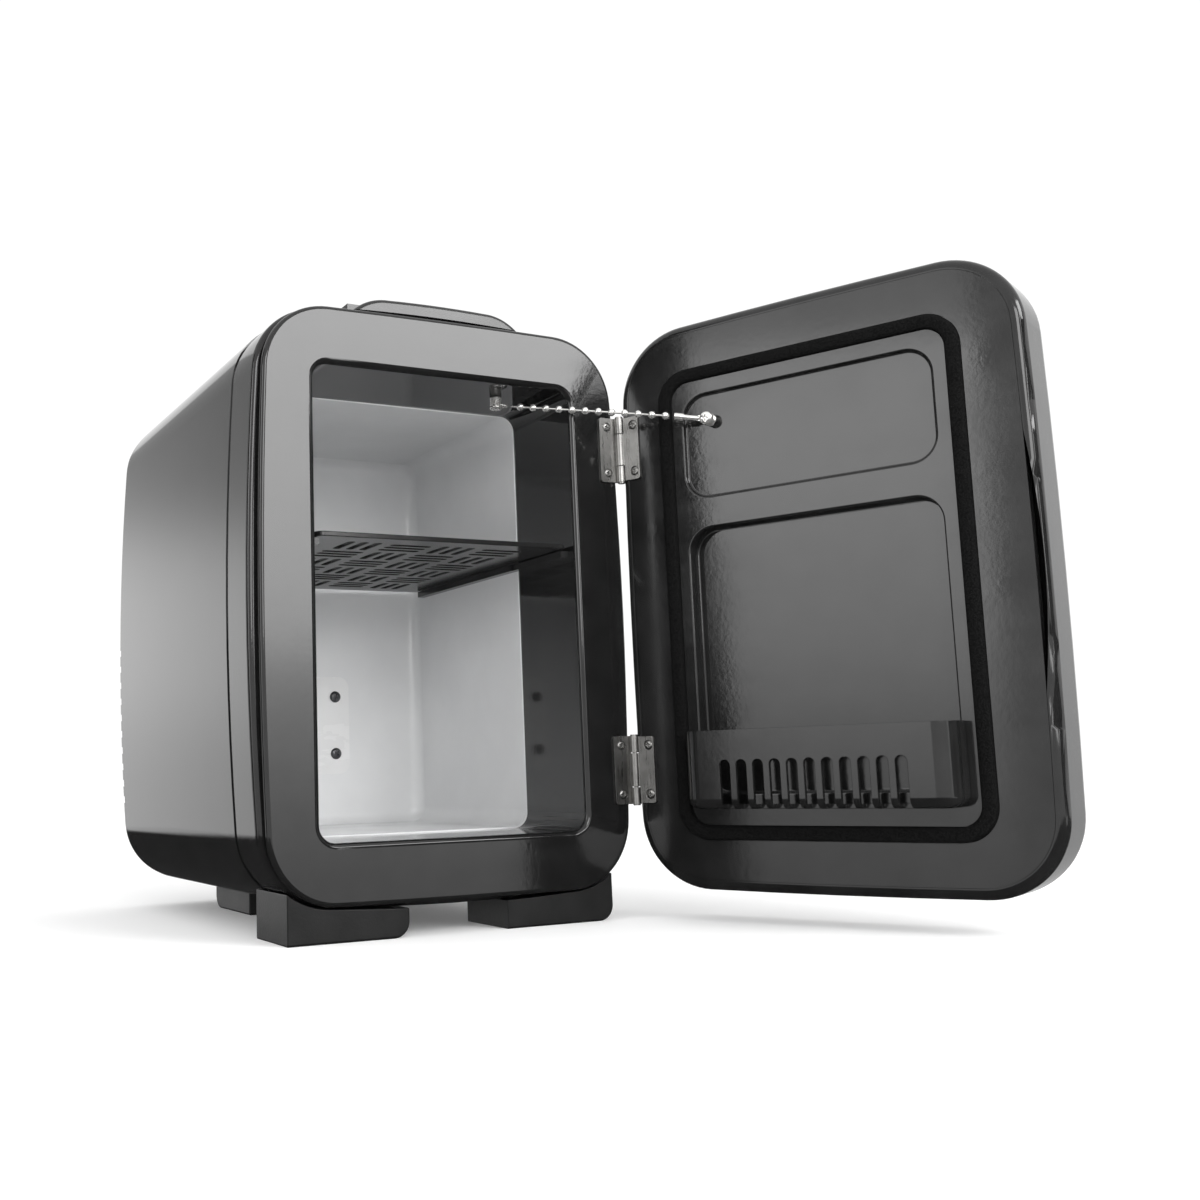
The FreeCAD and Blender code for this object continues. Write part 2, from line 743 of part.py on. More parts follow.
def makeDoorShell():
    outer = doorSection(0, panelFace - doorDepth, doorDepth)
    outer = outer.makeFillet(doorFrontEdge, edgesNear(outer, panelFace - doorDepth))
    outer = outer.makeFillet(doorBackEdge, edgesNear(outer, panelFace))
    inset = doorBackEdge + panelInset
    mouth = doorSection(inset, panelFace - panelPlate - 0.4, panelPlate + 1.4)
    core = doorSection(inset + 2.0, panelFace - doorDepth + doorWall, doorDepth - doorWall)
    core = core.makeFillet(doorFrontEdge - doorWall, edgesNear(core, panelFace - doorDepth + doorWall))
    shell = outer.cut(mouth).cut(core).cut(gripPocket())
    return knuckleNotches(shell)


def panelRecess(low, high, depth):
    recess = roundBox(-recessHalfWidth, recessHalfWidth, panelFace - depth, panelFace + 1, low, high,
                      recessCorner)
    return recess.makeFillet(recessToe, edgesNear(recess, panelFace - depth))


def ring(halfW, halfH, wide, corner, y0, y1, middle):
    outer = roundBox(-halfW, halfW, y0, y1, middle - halfH, middle + halfH, corner)
    inner = roundBox(-halfW + wide, halfW - wide, y0 - 1, y1 + 1, middle - halfH + wide,
                     middle + halfH - wide, corner - wide)
    return outer.cut(inner)


def makeDoorPanel():
    inset = doorBackEdge + panelInset + panelSeat
    panel = doorSection(inset, panelFace - panelPlate, panelPlate)
    back = panelBack
    tub = roundBox(-recessHalfWidth - back, recessHalfWidth + back, panelFace - lowerRecessDepth - back,
                   panelFace - 1, lowerRecessLow - back, lowerRecessHigh + back, recessCorner + back)
    panel = panel.fuse(tub).removeSplitter()
    panel = panel.cut(panelRecess(upperRecessLow, upperRecessHigh, upperRecessDepth))
    panel = panel.cut(panelRecess(lowerRecessLow, lowerRecessHigh, lowerRecessDepth))
    rims = [e for e in edgesNear(panel, panelFace)
            if max(abs(e.BoundBox.XMin), abs(e.BoundBox.XMax)) < recessHalfWidth + 0.5]
    panel = panel.makeFillet(recessRim, rims)
    panel = panel.cut(ring(gasketHalfWidth + gasketRoom, gasketHalfHeight + gasketRoom,
                           gasketWidth + 2 * gasketRoom, gasketCorner, panelFace - channelDepth,
                           panelFace + 1, mid))
    for z in hingeScrewHeights():
        panel = panel.cut(rod(1.05, Vector(hingeX - doorScrewIn, panelFace + 1, z),
                              Vector(hingeX - doorScrewIn, panelFace - panelPlate - 1, z)))
    panel = panel.cut(rod(1.4, doorScrewAt(1.0), doorScrewAt(-8.0)))
    return swing(knuckleNotches(panel))


def doorScrewAt(out):
    """Point on the axis of the door's chain screw, out from the bottom of the upper recess."""
    return Vector(hingeX - chainDoorIn, panelFace - upperRecessDepth + out, chainDoorHeight)


def makeDoorGasket():
    return swing(ring(gasketHalfWidth, gasketHalfHeight, gasketWidth, gasketCorner - gasketRoom,
                      panelFace - channelDepth + 0.1, -gasketRelief, mid))


def makeDoorFoam():
    inset = doorBackEdge + panelInset + 2.0 + foamGap
    y0 = panelFace - doorDepth + doorWall + foamGap
    y1 = panelFace - panelPlate - foamGap
    foam = doorSection(inset, y0, y1 - y0)
    foam = foam.makeFillet(doorFrontEdge - doorWall, edgesNear(foam, y0))
    back = panelBack + foamGap
    tub = roundBox(-recessHalfWidth - back, recessHalfWidth + back, panelFace - lowerRecessDepth - back,
                   panelFace, lowerRecessLow - back, lowerRecessHigh + back, recessCorner + back)
    well = rod(3.0, doorScrewAt(0), doorScrewAt(-12.0))
    x = hingeX - doorScrewIn
    wells = [rod(2.4, Vector(x, panelFace, z), Vector(x, panelFace - 9, z)) for z in hingeScrewHeights()]
    return swing(foam.cut([tub, well] + wells))


def makeDoorBin():
    """Bottle bin: front wall, ends and floor, with slots that wrap under and tongues in the recess."""
    y1 = panelFace + binReach
    w = binHalfWidth
    front = box(-w, w, panelFace + binSeat, y1, binLow, binHigh)
    upright = [e for e in front.Edges
               if abs(e.tangentAt(e.FirstParameter).z) > 0.99 and e.BoundBox.YMin > panelFace + 1]
    front = front.makeFillet(binCorner, upright)
    bottom = [e for e in front.Edges if e.BoundBox.ZMax < binLow + 0.01 and e.BoundBox.YMax > panelFace + 1]
    front = front.makeFillet(binToe, bottom)
    hollow = box(-w + binWall, w - binWall, panelFace - 20, y1 - binWall, binLow + binWall, binHigh + 5)
    upright = [e for e in hollow.Edges
               if abs(e.tangentAt(e.FirstParameter).z) > 0.99 and e.BoundBox.YMin > panelFace]
    hollow = hollow.makeFillet(binCorner - binWall, upright)
    tray = front.cut(hollow)
    slots = []
    for i in range(slotCount):
        x = (i - (slotCount - 1) / 2.0) * slotPitch
        slots.append(roundBox(x - slotWidth / 2, x + slotWidth / 2, y1 - 6.0, y1 + 5, binLow - 6.0, slotTop,
                              slotWidth / 2 - 0.01))
    tray = tray.cut(slots)
    inner = recessHalfWidth - binTongue
    z0 = lowerRecessLow + recessCorner + 1.0
    y0 = panelFace - lowerRecessDepth + recessToe
    tongue = box(inner - binWall, inner, y0, panelFace + 3, z0, binHigh)
    bridge = box(inner - binWall, w - 0.5 * binWall, panelFace + binSeat, panelFace + 3, z0, binHigh)
    tongue = tongue.fuse(bridge)
    other = tongue.mirror(Vector(0, 0, 0), Vector(1, 0, 0))
    return swing(tray.fuse([tongue, other]).removeSplitter())


# Chain from the collar's ceiling to the door
def chainStart():
    return Vector(anchorX, anchorY, mid + mouthHalfHeight - chainDrop)


def chainEnd():
    p = doorScrewAt(upperRecessDepth + claspRise)
    return swingPoint(p.x, p.y, p.z)


def chainPoint(s):
    """Point at distance s along the taut chain from the anchor's axis."""
    a = chainStart()
    d = chainEnd() - a
    d.normalize()
    return a + d * s


def ballPitch():
    total = (chainEnd() - chainStart()).Length
    return (total - firstBall - claspReach) / (ballsPerLink * linkCount - 1)


def makeAnchorScrew():
    z = mid + mouthHalfHeight - chainDrop
    low = z - eyeHalf - chainSeat
    screw = panScrew(anchorHead, 1.8, chainShank, 14.0, Vector(anchorX, anchorY, low), Vector(0, 0, -1))
    washer = rod(2.9, Vector(anchorX, anchorY, z + eyeHalf + chainSeat),
                 Vector(anchorX, anchorY, mid + mouthHalfHeight))
    return screw.fuse(washer).removeSplitter()


def makeChainSwivel():
    a = chainStart()
    p = chainPoint(firstPivot)
    eye = rod(eyeRadius, Vector(a.x, a.y, a.z - eyeHalf), Vector(a.x, a.y, a.z + eyeHalf))
    arm = rod(wireRadius, chainPoint(2.2), chainPoint(firstPivot - 0.5))
    ball = Part.makeSphere(pivotRadius, p)
    eye = eye.fuse([arm, ball]).removeSplitter()
    head = rod(anchorHead + 0.3, Vector(a.x, a.y, a.z - 6), Vector(a.x, a.y, a.z - eyeHalf))
    shank = rod(chainShank + chainShankFit, Vector(a.x, a.y, a.z - 3), Vector(a.x, a.y, a.z + 3))
    return eye.cut(head).cut(shank)


def makeChainLink(index):
    """Three balls on their wires; the last ball is the pivot of the next link."""
    pitch = ballPitch()
    first = firstBall + index * ballsPerLink * pitch
    if index == 0:
        start = firstPivot + pivotRadius + chainRoom
    else:
        start = first - pitch + ballRadius + chainRoom
    last = first + (ballsPerLink - 1) * pitch
    link = rod(wireRadius, chainPoint(start), chainPoint(last))
    for k in range(ballsPerLink):
        link = link.fuse(Part.makeSphere(ballRadius, chainPoint(first + k * pitch)))
    return link.removeSplitter()


def makeChainClasp():
    """Flat connector with an eye on the door screw and a socket that takes the last ball."""
    axis = swingPoint(0, 1, 0) - swingPoint(0, 0, 0)
    b = chainEnd()
    last = firstBall + (ballsPerLink * linkCount - 1) * ballPitch()
    tip = chainPoint(last + ballRadius + claspGap)
    along = tip - b
    along = along - axis * along.dot(axis)
    along.normalize()
    bend = b + along * (eyeRadius + 1.2)
    eye = rod(eyeRadius, b - axis * eyeHalf, b + axis * eyeHalf)
    neck = rod(1.3, b + along * (eyeRadius - 0.8), bend + along * 0.6)
    neck = neck.common(rod(eyeRadius + 10.0, b - axis * eyeHalf, b + axis * eyeHalf))
    stem = rod(1.2, bend, tip)
    line = tip - bend
    line.normalize()
    socket = rod(1.7, tip - line * 4.2, tip)
    clasp = eye.fuse([neck, stem, socket]).removeSplitter()
    return clasp.cut(rod(chainShank + chainShankFit, b - axis * 4, b + axis * 4))


def makeDoorChainScrew():
    stack = upperRecessDepth + claspRise
    high = doorScrewAt(stack + eyeHalf + chainSeat)
    out = swingPoint(0, 1, 0) - swingPoint(0, 0, 0)
    screw = panScrew(anchorHead, 1.6, chainShank, 12.0, swingPoint(high.x, high.y, high.z), out)
    low = doorScrewAt(0)
    top = doorScrewAt(stack - eyeHalf - chainSeat)
    washer = rod(2.9, swingPoint(low.x, low.y, low.z), swingPoint(top.x, top.y, top.z))
    return screw.fuse(washer).removeSplitter()


# Carry handle, folded down on the top
def handleUnder():
    return caseTop + handleLift


def handleAxis():
    return Vector(0, handleFront + handleReach, handleUnder() + handleThick / 2)


def makeHandle():
    """Bowed grip that curves down to the case at both ends, and two arms back to the pins."""
    x1 = handleHalfWidth
    y0 = handleFront
    z0 = handleUnder()
    drop = x1 * x1 / (2.0 * caseTopCrown)
    axis = handleAxis()
    top = z0 + handleThick + handleRise
    knee = x1 - handleEnd
    # Each end is an arc that leaves the grip level at the knee and reaches the case at the tip.
    fall = z0 + handleThick + 0.6 * handleRise - (z0 - drop)
    endRadius = (handleEnd * handleEnd + fall * fall) / (2.0 * fall)
    half = 0.5 * math.asin(handleEnd / endRadius)
    kneeTop = z0 - drop + fall
    tips = [Vector(s * x1, y0, z0 - drop) for s in (-1, 1)]
    knees = [Vector(s * knee, y0, kneeTop) for s in (-1, 1)]
    bends = [Vector(s * (knee + endRadius * math.sin(half)), y0, kneeTop - endRadius * (1.0 - math.cos(half)))
             for s in (-1, 1)]
    outline = [Part.Arc(tips[0], Vector(0, y0, z0), tips[1]).toShape(),
               Part.Arc(tips[1], bends[1], knees[1]).toShape(),
               Part.Arc(knees[1], Vector(0, y0, top), knees[0]).toShape(),
               Part.Arc(knees[0], bends[0], tips[0]).toShape()]
    grip = Part.Face(Part.Wire(outline)).extrude(Vector(0, handleBar, 0))
    long = [e for e in grip.Edges
            if e.BoundBox.YMax - e.BoundBox.YMin < 0.01 and e.BoundBox.ZMax > z0 + 1.0]
    grip = grip.makeFillet(handleRound, long)
    arms = []
    for side in (-1, 1):
        arm = box(x1 - handleArm, x1, y0 + 0.5 * handleBar, axis.y, z0, z0 + 0.8 * handleThick)
        eye = rod(handleThick / 2, Vector(x1 - handleArm, axis.y, axis.z), Vector(x1, axis.y, axis.z))
        arm = arm.fuse(eye)
        if side < 0:
            arm = arm.mirror(Vector(0, 0, 0), Vector(1, 0, 0))
        arms.append(arm)
    handle = grip.fuse(arms).removeSplitter()
    hole = rod(handlePin / 2 + handlePinFit, Vector(-x1 - 1, axis.y, axis.z),
               Vector(x1 + 1, axis.y, axis.z))
    return handle.cut(hole)


def cheekSpan():
    return handleHalfWidth + handleSide


def makeHandleBoss(side):
    axis = handleAxis()
    x0 = cheekSpan()
    z0 = caseTop - 3.0
    post = box(x0, x0 + handleCheek, axis.y - cheekRound, axis.y + cheekRound, z0, axis.z)
    post = post.fuse(rod(cheekRound, Vector(x0, axis.y, axis.z), Vector(x0 + handleCheek, axis.y, axis.z)))
    post = post.removeSplitter()
    post = post.cut(caseSection(0, axis.y - 20, 40))
    post = post.cut(rod(handlePin / 2, Vector(x0 - 1, axis.y, axis.z),
                        Vector(x0 + handleCheek + 1, axis.y, axis.z)))
    if side < 0:
        post = post.mirror(Vector(0, 0, 0), Vector(1, 0, 0))
    return post


def makeHandlePin(side):
    axis = handleAxis()
    pin = rod(handlePin / 2, Vector(handleHalfWidth - handleArm + 0.5, axis.y, axis.z),
              Vector(cheekSpan() + handleCheek, axis.y, axis.z))
    cap = rod(handlePin / 2 + 1.2, Vector(cheekSpan() + handleCheek, axis.y, axis.z),
              Vector(cheekSpan() + handleCheek + 1.0, axis.y, axis.z))
    pin = pin.fuse(cap).removeSplitter()
    if side < 0:
        pin = pin.mirror(Vector(0, 0, 0), Vector(1, 0, 0))
    return pin


# Feet: one moulding used four times, with one rounded lower end
def underCase(foot):
    """Trim a foot to the underside of the case."""
    belly = caseSection(-0.05, -60, coverBack + 120)
    return foot.cut(belly)


def makeFrontFoot(side):
    x0 = -footOuter if side < 0 else footOuter - footLong
    foot = box(x0, x0 + footLong, footFront, footFront + footWide, 0, mid - caseHalfHeight + footHigh)
    low = [e for e in foot.Edges if e.BoundBox.ZMax < 0.01 and abs(e.tangentAt(e.FirstParameter).y) > 0.99
           and e.BoundBox.XMin > x0 + 1]
    foot = foot.makeFillet(footRound, low)
    front = [e for e in foot.Edges if e.BoundBox.ZMax < 0.01 and e.BoundBox.YMax < footFront + 0.01
             and abs(e.tangentAt(e.FirstParameter).x) > 0.99]
    foot = foot.makeFillet(1.2, front)
    foot = underCase(foot)
    return biggest(foot.cut(frameSection(-footFit, -10, bandFront + 10)))


def makeRearFoot(side):
    x0 = -rearFootSide if side < 0 else rearFootSide - footWide
    foot = box(x0, x0 + footWide, rearFootBack - footLong, rearFootBack, 0, mid - caseHalfHeight + footHigh)
    low = [e for e in foot.Edges if e.BoundBox.ZMax < 0.01 and abs(e.tangentAt(e.FirstParameter).x) > 0.99
           and e.BoundBox.YMin > rearFootBack - 1]
    foot = foot.makeFillet(footRound, low)
    return biggest(underCase(foot))


def biggest(shape):
    solids = sorted(shape.Solids, key=lambda s: s.Volume)
    return solids[-1]


# Controls
def makeSwitchHousing():
    y0 = coverBack - coverWall - 8.0
    body = box(switchX - 6.9, switchX + 6.9, y0, coverBack, controlHeight - 9.9, controlHeight + 9.9)
    flange = roundBox(switchX - 8.6, switchX + 8.6, coverBack, coverBack + 1.0, controlHeight - 11.6,
                      controlHeight + 11.6, 1.5)
    body = body.fuse(flange).removeSplitter()
    return body.cut(box(switchX - 5.0, switchX + 5.0, y0 + 2, coverBack + 3, controlHeight - 8.0,
                        controlHeight + 8.0))


def makeRocker():
    """Rocker pressed in at the top, turned about its own pivot."""
    y = coverBack - 0.5
    x0 = switchX - 4.7
    body = rod(7.4, Vector(x0, y - 4.5, controlHeight), Vector(x0 + 9.4, y - 4.5, controlHeight))
    keep = box(x0, x0 + 9.4, y - 5.5, y + 3.2, controlHeight - 7.3, controlHeight + 7.3)
    body = body.common(keep)
    dish = rod(16.0, Vector(x0 - 1, y + 17.2, controlHeight), Vector(x0 + 11, y + 17.2, controlHeight))
    body = body.cut(dish)
    body.rotate(Vector(switchX, y - 4.5, controlHeight), Vector(1, 0, 0), rockerTilt)
    return body


def makeAcInlet():
    y1 = coverBack + 0.8
    flange = roundBox(inletX - 14.5, inletX + 14.5, coverBack, y1, controlHeight - inletHalfHeight,
                      controlHeight + inletHalfHeight, 2.0)
    body = box(inletX - 11.9, inletX + 11.9, coverBack - 11.0, coverBack, controlHeight - 9.4,
               controlHeight + 9.4)
    body = body.fuse(flange).removeSplitter()
    socket = roundBox(inletX - 8.5, inletX + 8.5, coverBack - 9.0, y1 + 2, controlHeight - 5.5,
                      controlHeight + 5.5, 2.5)
    pins = [rod(1.2, Vector(inletX + s * 4.0, coverBack - 10.0, controlHeight),
                Vector(inletX + s * 4.0, coverBack - 1.5, controlHeight)) for s in (-1, 1)]
    return body.cut(socket).fuse(pins).removeSplitter()


def makeDcInlet():
    y0 = coverBack - coverWall - 8.0
    body = rod(5.1, Vector(dcX, y0, controlHeight), Vector(dcX, coverBack, controlHeight))
    flange = rod(7.0, Vector(dcX, coverBack, controlHeight), Vector(dcX, coverBack + 0.8, controlHeight))
    body = body.fuse(flange).removeSplitter()
    body = body.cut(rod(3.4, Vector(dcX, y0 + 2, controlHeight), Vector(dcX, coverBack + 3, controlHeight)))
    pin = rod(0.9, Vector(dcX, y0 + 1, controlHeight), Vector(dcX, coverBack - 1.5, controlHeight))
    return body.fuse(pin).removeSplitter()


def makeBoard():
    y0 = foamEnd + boardLift
    y1 = y0 + boardThick
    w = boardHalfWidth
    board = box(-w, w, y0, y1, boardLow, boardHigh)
    parts = [
        box(-w + 8, -w + 24, y1, y1 + 10, boardLow + 6, boardLow + 22),
        rod(5.0, Vector(10, y1, boardLow + 14), Vector(10, y1 + 11, boardLow + 14)),
        box(w - 16, w - 5, y1, y1 + 6, boardLow + 26, boardLow + 38),
        rod(3.2, Vector(0, y1, boardLow + 33), Vector(0, y1 + 8, boardLow + 33)),
    ]
    posts = [rod(2.0, Vector(x, foamEnd, z), Vector(x, y0, z))
             for x in (-w + 4, w - 4) for z in (boardLow + 4, boardHigh - 4)]
    return board.fuse(parts + posts).removeSplitter()


save(makeFrontFrame(), "front_frame")
save(makeFrontSeam(), "front_seam")
save(makeFrontBand(), "front_band")
save(makeRearShell(), "rear_shell")
save(makeRearCover(), "rear_cover")
save(makeCoverScrews(), "rear_cover_screws")
save(makeLiner(), "inner_liner")
save(makeCabinetFoam(), "cabinet_foam")
save(makeColdPlate(), "cold_plate")
save(makeColdScrews(), "cold_plate_screws")
save(makeColdBlock(), "cold_block")
save(makeModule(), "cooling_module")
save(makeHeatSink(), "heat_sink")
save(makeFanFrame(), "fan_frame")
save(makeFanRotor(), "fan_rotor")
save(makeShelf(), "shelf")
save(makeShelfRail(-1), "shelf_rail_left")
save(makeShelfRail(1), "shelf_rail_right")
for label, place in (("upper", upperHinge), ("lower", lowerHinge)):
    save(makeCabinetLeaf(place), "hinge_cabinet_leaf_" + label)
    save(makeDoorLeaf(place), "hinge_door_leaf_" + label)
    save(makeHingePin(place), "hinge_pin_" + label)
save(makeCabinetHingeScrews(), "hinge_cabinet_screws")
save(makeDoorHingeScrews(), "hinge_door_screws")
save(swing(makeDoorShell()), "door_shell")
save(makeDoorPanel(), "door_panel")
save(makeDoorGasket(), "door_gasket")
save(makeDoorFoam(), "door_foam")
save(makeDoorBin(), "door_bin")
save(makeAnchorScrew(), "chain_anchor_screw")
save(makeChainSwivel(), "chain_swivel")
for index in range(linkCount):
    save(makeChainLink(index), "chain_link_" + str(index + 1))
save(makeChainClasp(), "chain_clasp")
save(makeDoorChainScrew(), "chain_door_screw")
save(makeHandle(), "carry_handle")
for label, side in (("left", -1), ("right", 1)):
    save(makeHandleBoss(side), "handle_boss_" + label)
    save(makeHandlePin(side), "handle_pin_" + label)
    save(makeFrontFoot(side), "foot_front_" + label)
    save(makeRearFoot(side), "foot_rear_" + label)
save(makeSwitchHousing(), "switch_housing")
save(makeRocker(), "switch_rocker")
save(makeAcInlet(), "mains_inlet")
save(makeDcInlet(), "low_voltage_inlet")
save(makeBoard(), "control_board")
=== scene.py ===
import json
import math

import bmesh
import bpy
from mathutils import Matrix, Vector, noise
from mathutils.bvhtree import BVHTree


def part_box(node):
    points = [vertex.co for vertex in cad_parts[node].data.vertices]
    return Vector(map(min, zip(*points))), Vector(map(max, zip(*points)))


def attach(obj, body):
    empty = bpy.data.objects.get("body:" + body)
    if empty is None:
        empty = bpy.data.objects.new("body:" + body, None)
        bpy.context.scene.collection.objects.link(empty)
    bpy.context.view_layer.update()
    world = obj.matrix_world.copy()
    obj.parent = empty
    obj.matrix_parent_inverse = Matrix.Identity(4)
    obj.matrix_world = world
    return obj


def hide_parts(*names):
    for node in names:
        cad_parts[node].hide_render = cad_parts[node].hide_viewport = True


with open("model.json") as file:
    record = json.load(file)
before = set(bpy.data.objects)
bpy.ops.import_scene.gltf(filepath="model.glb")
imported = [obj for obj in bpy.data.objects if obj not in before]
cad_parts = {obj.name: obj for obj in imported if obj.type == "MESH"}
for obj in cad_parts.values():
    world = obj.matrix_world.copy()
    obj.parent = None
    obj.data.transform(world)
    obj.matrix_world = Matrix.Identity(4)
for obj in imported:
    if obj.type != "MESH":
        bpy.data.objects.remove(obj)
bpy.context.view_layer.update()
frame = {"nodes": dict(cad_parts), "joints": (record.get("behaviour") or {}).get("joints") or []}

nodes = frame["nodes"]
print("frame loaded:", len(nodes), "CAD nodes")


# The door rests open, so its pieces are drawn shut and turned about the hinge.
doorJoint = next(j for j in frame["joints"] if j["name"] == "door_hinge")
hingeAt = Vector(doorJoint["pos_m"])
doorAngle = math.radians(-doorJoint["range_deg"][0])  # shut to resting open
doorTurn = (Matrix.Translation(hingeAt) @ Matrix.Rotation(doorAngle, 4, "Z")
            @ Matrix.Translation(-hingeAt))


def shutBox(nodeName):
    # box of a door node as it is when the door is shut
    back = doorTurn.inverted()
    points = [back @ v.co for v in nodes[nodeName].data.vertices]
    low = Vector(min(p[i] for p in points) for i in range(3))
    high = Vector(max(p[i] for p in points) for i in range(3))
    return low, high


def meshPiece(name, mesh):
    piece = bpy.data.objects.new(name, mesh)
    bpy.context.scene.collection.objects.link(piece)
    return piece


def fromBmesh(name, bm, smooth=True):
    bmesh.ops.recalc_face_normals(bm, faces=bm.faces)
    mesh = bpy.data.meshes.new(name)
    bm.to_mesh(mesh)
    bm.free()
    for face in mesh.polygons:
        face.use_smooth = smooth
    return meshPiece(name, mesh)


def addModifier(piece, kind, **settings):
    modifier = piece.modifiers.new(kind.title(), kind)
    for key, value in settings.items():
        setattr(modifier, key, value)
    return modifier


def bake(piece):
    # modifiers become mesh, and the piece's place goes into its vertices
    graph = bpy.context.evaluated_depsgraph_get()
    mesh = bpy.data.meshes.new_from_object(piece.evaluated_get(graph))
    name = piece.name
    mats = list(piece.data.materials) if piece.type == "MESH" else []
    mesh.transform(piece.matrix_world)
    bpy.data.objects.remove(piece)
    mesh.name = name
    done = meshPiece(name, mesh)
    if not mesh.materials:
        for mat in mats:
            mesh.materials.append(mat)
    return done


def dress(piece, body, mat, slotName, *stoodFor):
    piece.data.materials.clear()
    piece.data.materials.append(mat)
    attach(piece, body)
    if stoodFor:
        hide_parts(*stoodFor)
    return piece


def newMaterial(name):
    mat = bpy.data.materials.new(name)
    mat.use_nodes = True
    tree = mat.node_tree
    shader = tree.nodes["Principled BSDF"]
    coords = tree.nodes.new("ShaderNodeTexCoord")
    return mat, tree, shader, coords


def noiseNode(tree, coords, scale, detail=4.0, rough=0.55, stretch=None):
    tex = tree.nodes.new("ShaderNodeTexNoise")
    tex.inputs["Scale"].default_value = scale
    tex.inputs["Detail"].default_value = detail
    tex.inputs["Roughness"].default_value = rough
    if stretch:
        mapping = tree.nodes.new("ShaderNodeMapping")
        mapping.inputs["Scale"].default_value = stretch
        tree.links.new(coords.outputs["Object"], mapping.inputs["Vector"])
        tree.links.new(mapping.outputs["Vector"], tex.inputs["Vector"])
    else:
        tree.links.new(coords.outputs["Object"], tex.inputs["Vector"])
    return tex


def rampNode(tree, source, low, high, fromValue=0.3, toValue=0.7):
    ramp = tree.nodes.new("ShaderNodeValToRGB")
    ramp.color_ramp.elements[0].position = fromValue
    ramp.color_ramp.elements[1].position = toValue
    ramp.color_ramp.elements[0].color = (*low, 1)
    ramp.color_ramp.elements[1].color = (*high, 1)
    tree.links.new(source, ramp.inputs["Fac"])
    return ramp.outputs["Color"]


def grey(value):
    return (value, value, value)


def bumpNode(tree, source, shader, distance):
    bump = tree.nodes.new("ShaderNodeBump")
    bump.inputs["Strength"].default_value = 1.0
    bump.inputs["Distance"].default_value = distance
    tree.links.new(source, bump.inputs["Height"])
    tree.links.new(bump.outputs["Normal"], shader.inputs["Normal"])


def mouldedPlastic(name, dark, light, smoothest, roughest, mottle=60.0, orangePeel=0.000012,
                   peelScale=420.0, shine=0.5):
    # moulded plastic: faint mottle, wiped patches in the gloss, orange peel in the skin
    mat, tree, shader, coords = newMaterial(name)
    tone = noiseNode(tree, coords, mottle, 3.0)
    tree.links.new(rampNode(tree, tone.outputs["Fac"], dark, light), shader.inputs["Base Color"])
    wipe = noiseNode(tree, coords, 14.0, 6.0, 0.62, (1.0, 1.0, 3.0))
    tree.links.new(rampNode(tree, wipe.outputs["Fac"], grey(smoothest), grey(roughest), 0.35, 0.75),
                   shader.inputs["Roughness"])
    peel = noiseNode(tree, coords, peelScale, 2.0)
    bumpNode(tree, peel.outputs["Fac"], shader, orangePeel)
    shader.inputs["IOR"].default_value = 1.5
    shader.inputs["Specular IOR Level"].default_value = shine
    return mat


def platedMetal(name, dark, light, smoothest, roughest, metallic=1.0):
    # plated metal: cloudy tone and fine drawn scratches
    mat, tree, shader, coords = newMaterial(name)
    shader.inputs["Metallic"].default_value = metallic
    tone = noiseNode(tree, coords, 130.0, 3.0)
    tree.links.new(rampNode(tree, tone.outputs["Fac"], dark, light), shader.inputs["Base Color"])
    scratch = noiseNode(tree, coords, 900.0, 5.0, 0.6, (1.0, 1.0, 0.08))
    tree.links.new(rampNode(tree, scratch.outputs["Fac"], grey(smoothest), grey(roughest)),
                   shader.inputs["Roughness"])
    bumpNode(tree, scratch.outputs["Fac"], shader, 0.000006)
    return mat


def beadFoam(name, dark, light, beadScale, depth, rough=0.85, shine=0.3):
    # soft foam: closed beads; the colour darkens towards each bead's edge, where the bump sinks into pits, so
    # the pits carry painted shade
    mat, tree, shader, coords = newMaterial(name)
    cells = tree.nodes.new("ShaderNodeTexVoronoi")
    cells.inputs["Scale"].default_value = beadScale
    tree.links.new(coords.outputs["Object"], cells.inputs["Vector"])
    # painted shade: light in the bead middles, dark at the bead edges, on the same cells that the bump sinks
    # below
    tree.links.new(rampNode(tree, cells.outputs["Distance"], light, dark, 0.15, 0.75),
                   shader.inputs["Base Color"])
    fine = noiseNode(tree, coords, beadScale * 2.5, 3.0)
    mixed = tree.nodes.new("ShaderNodeMath")
    mixed.operation = "SUBTRACT"
    tree.links.new(fine.outputs["Fac"], mixed.inputs[0])
    tree.links.new(cells.outputs["Distance"], mixed.inputs[1])
    bumpNode(tree, mixed.outputs["Value"], shader, depth)
    shader.inputs["Roughness"].default_value = rough
    shader.inputs["Specular IOR Level"].default_value = shine
    return mat


caseGloss = mouldedPlastic("caseGloss", grey(0.006), grey(0.010), 0.045, 0.11)
frameGloss = mouldedPlastic("frameGloss", grey(0.006), grey(0.010), 0.05, 0.12)
doorGloss = mouldedPlastic("doorGloss", grey(0.007), grey(0.012), 0.06, 0.14)
binGloss = mouldedPlastic("binGloss", grey(0.007), grey(0.012), 0.10, 0.20)
shelfPlastic = mouldedPlastic("shelfPlastic", grey(0.006), grey(0.010), 0.16, 0.24, orangePeel=0.00002,
                              shine=0.42)
handlePlastic = mouldedPlastic("handlePlastic", grey(0.010), grey(0.016), 0.14, 0.26, orangePeel=0.00002)
footSatin = mouldedPlastic("footSatin", grey(0.006), grey(0.011), 0.34, 0.46, orangePeel=0.00005,
                           peelScale=900.0, shine=0.25)
trimSatin = mouldedPlastic("trimSatin", grey(0.014), grey(0.022), 0.30, 0.44, orangePeel=0.00004)
linerWhite = mouldedPlastic("linerWhite", (0.76, 0.765, 0.77), (0.82, 0.825, 0.83), 0.16, 0.26, 22.0, 0.00003)
coldPlateWhite = mouldedPlastic("coldPlateWhite", (0.80, 0.80, 0.80), (0.85, 0.85, 0.85), 0.24, 0.38, 30.0)
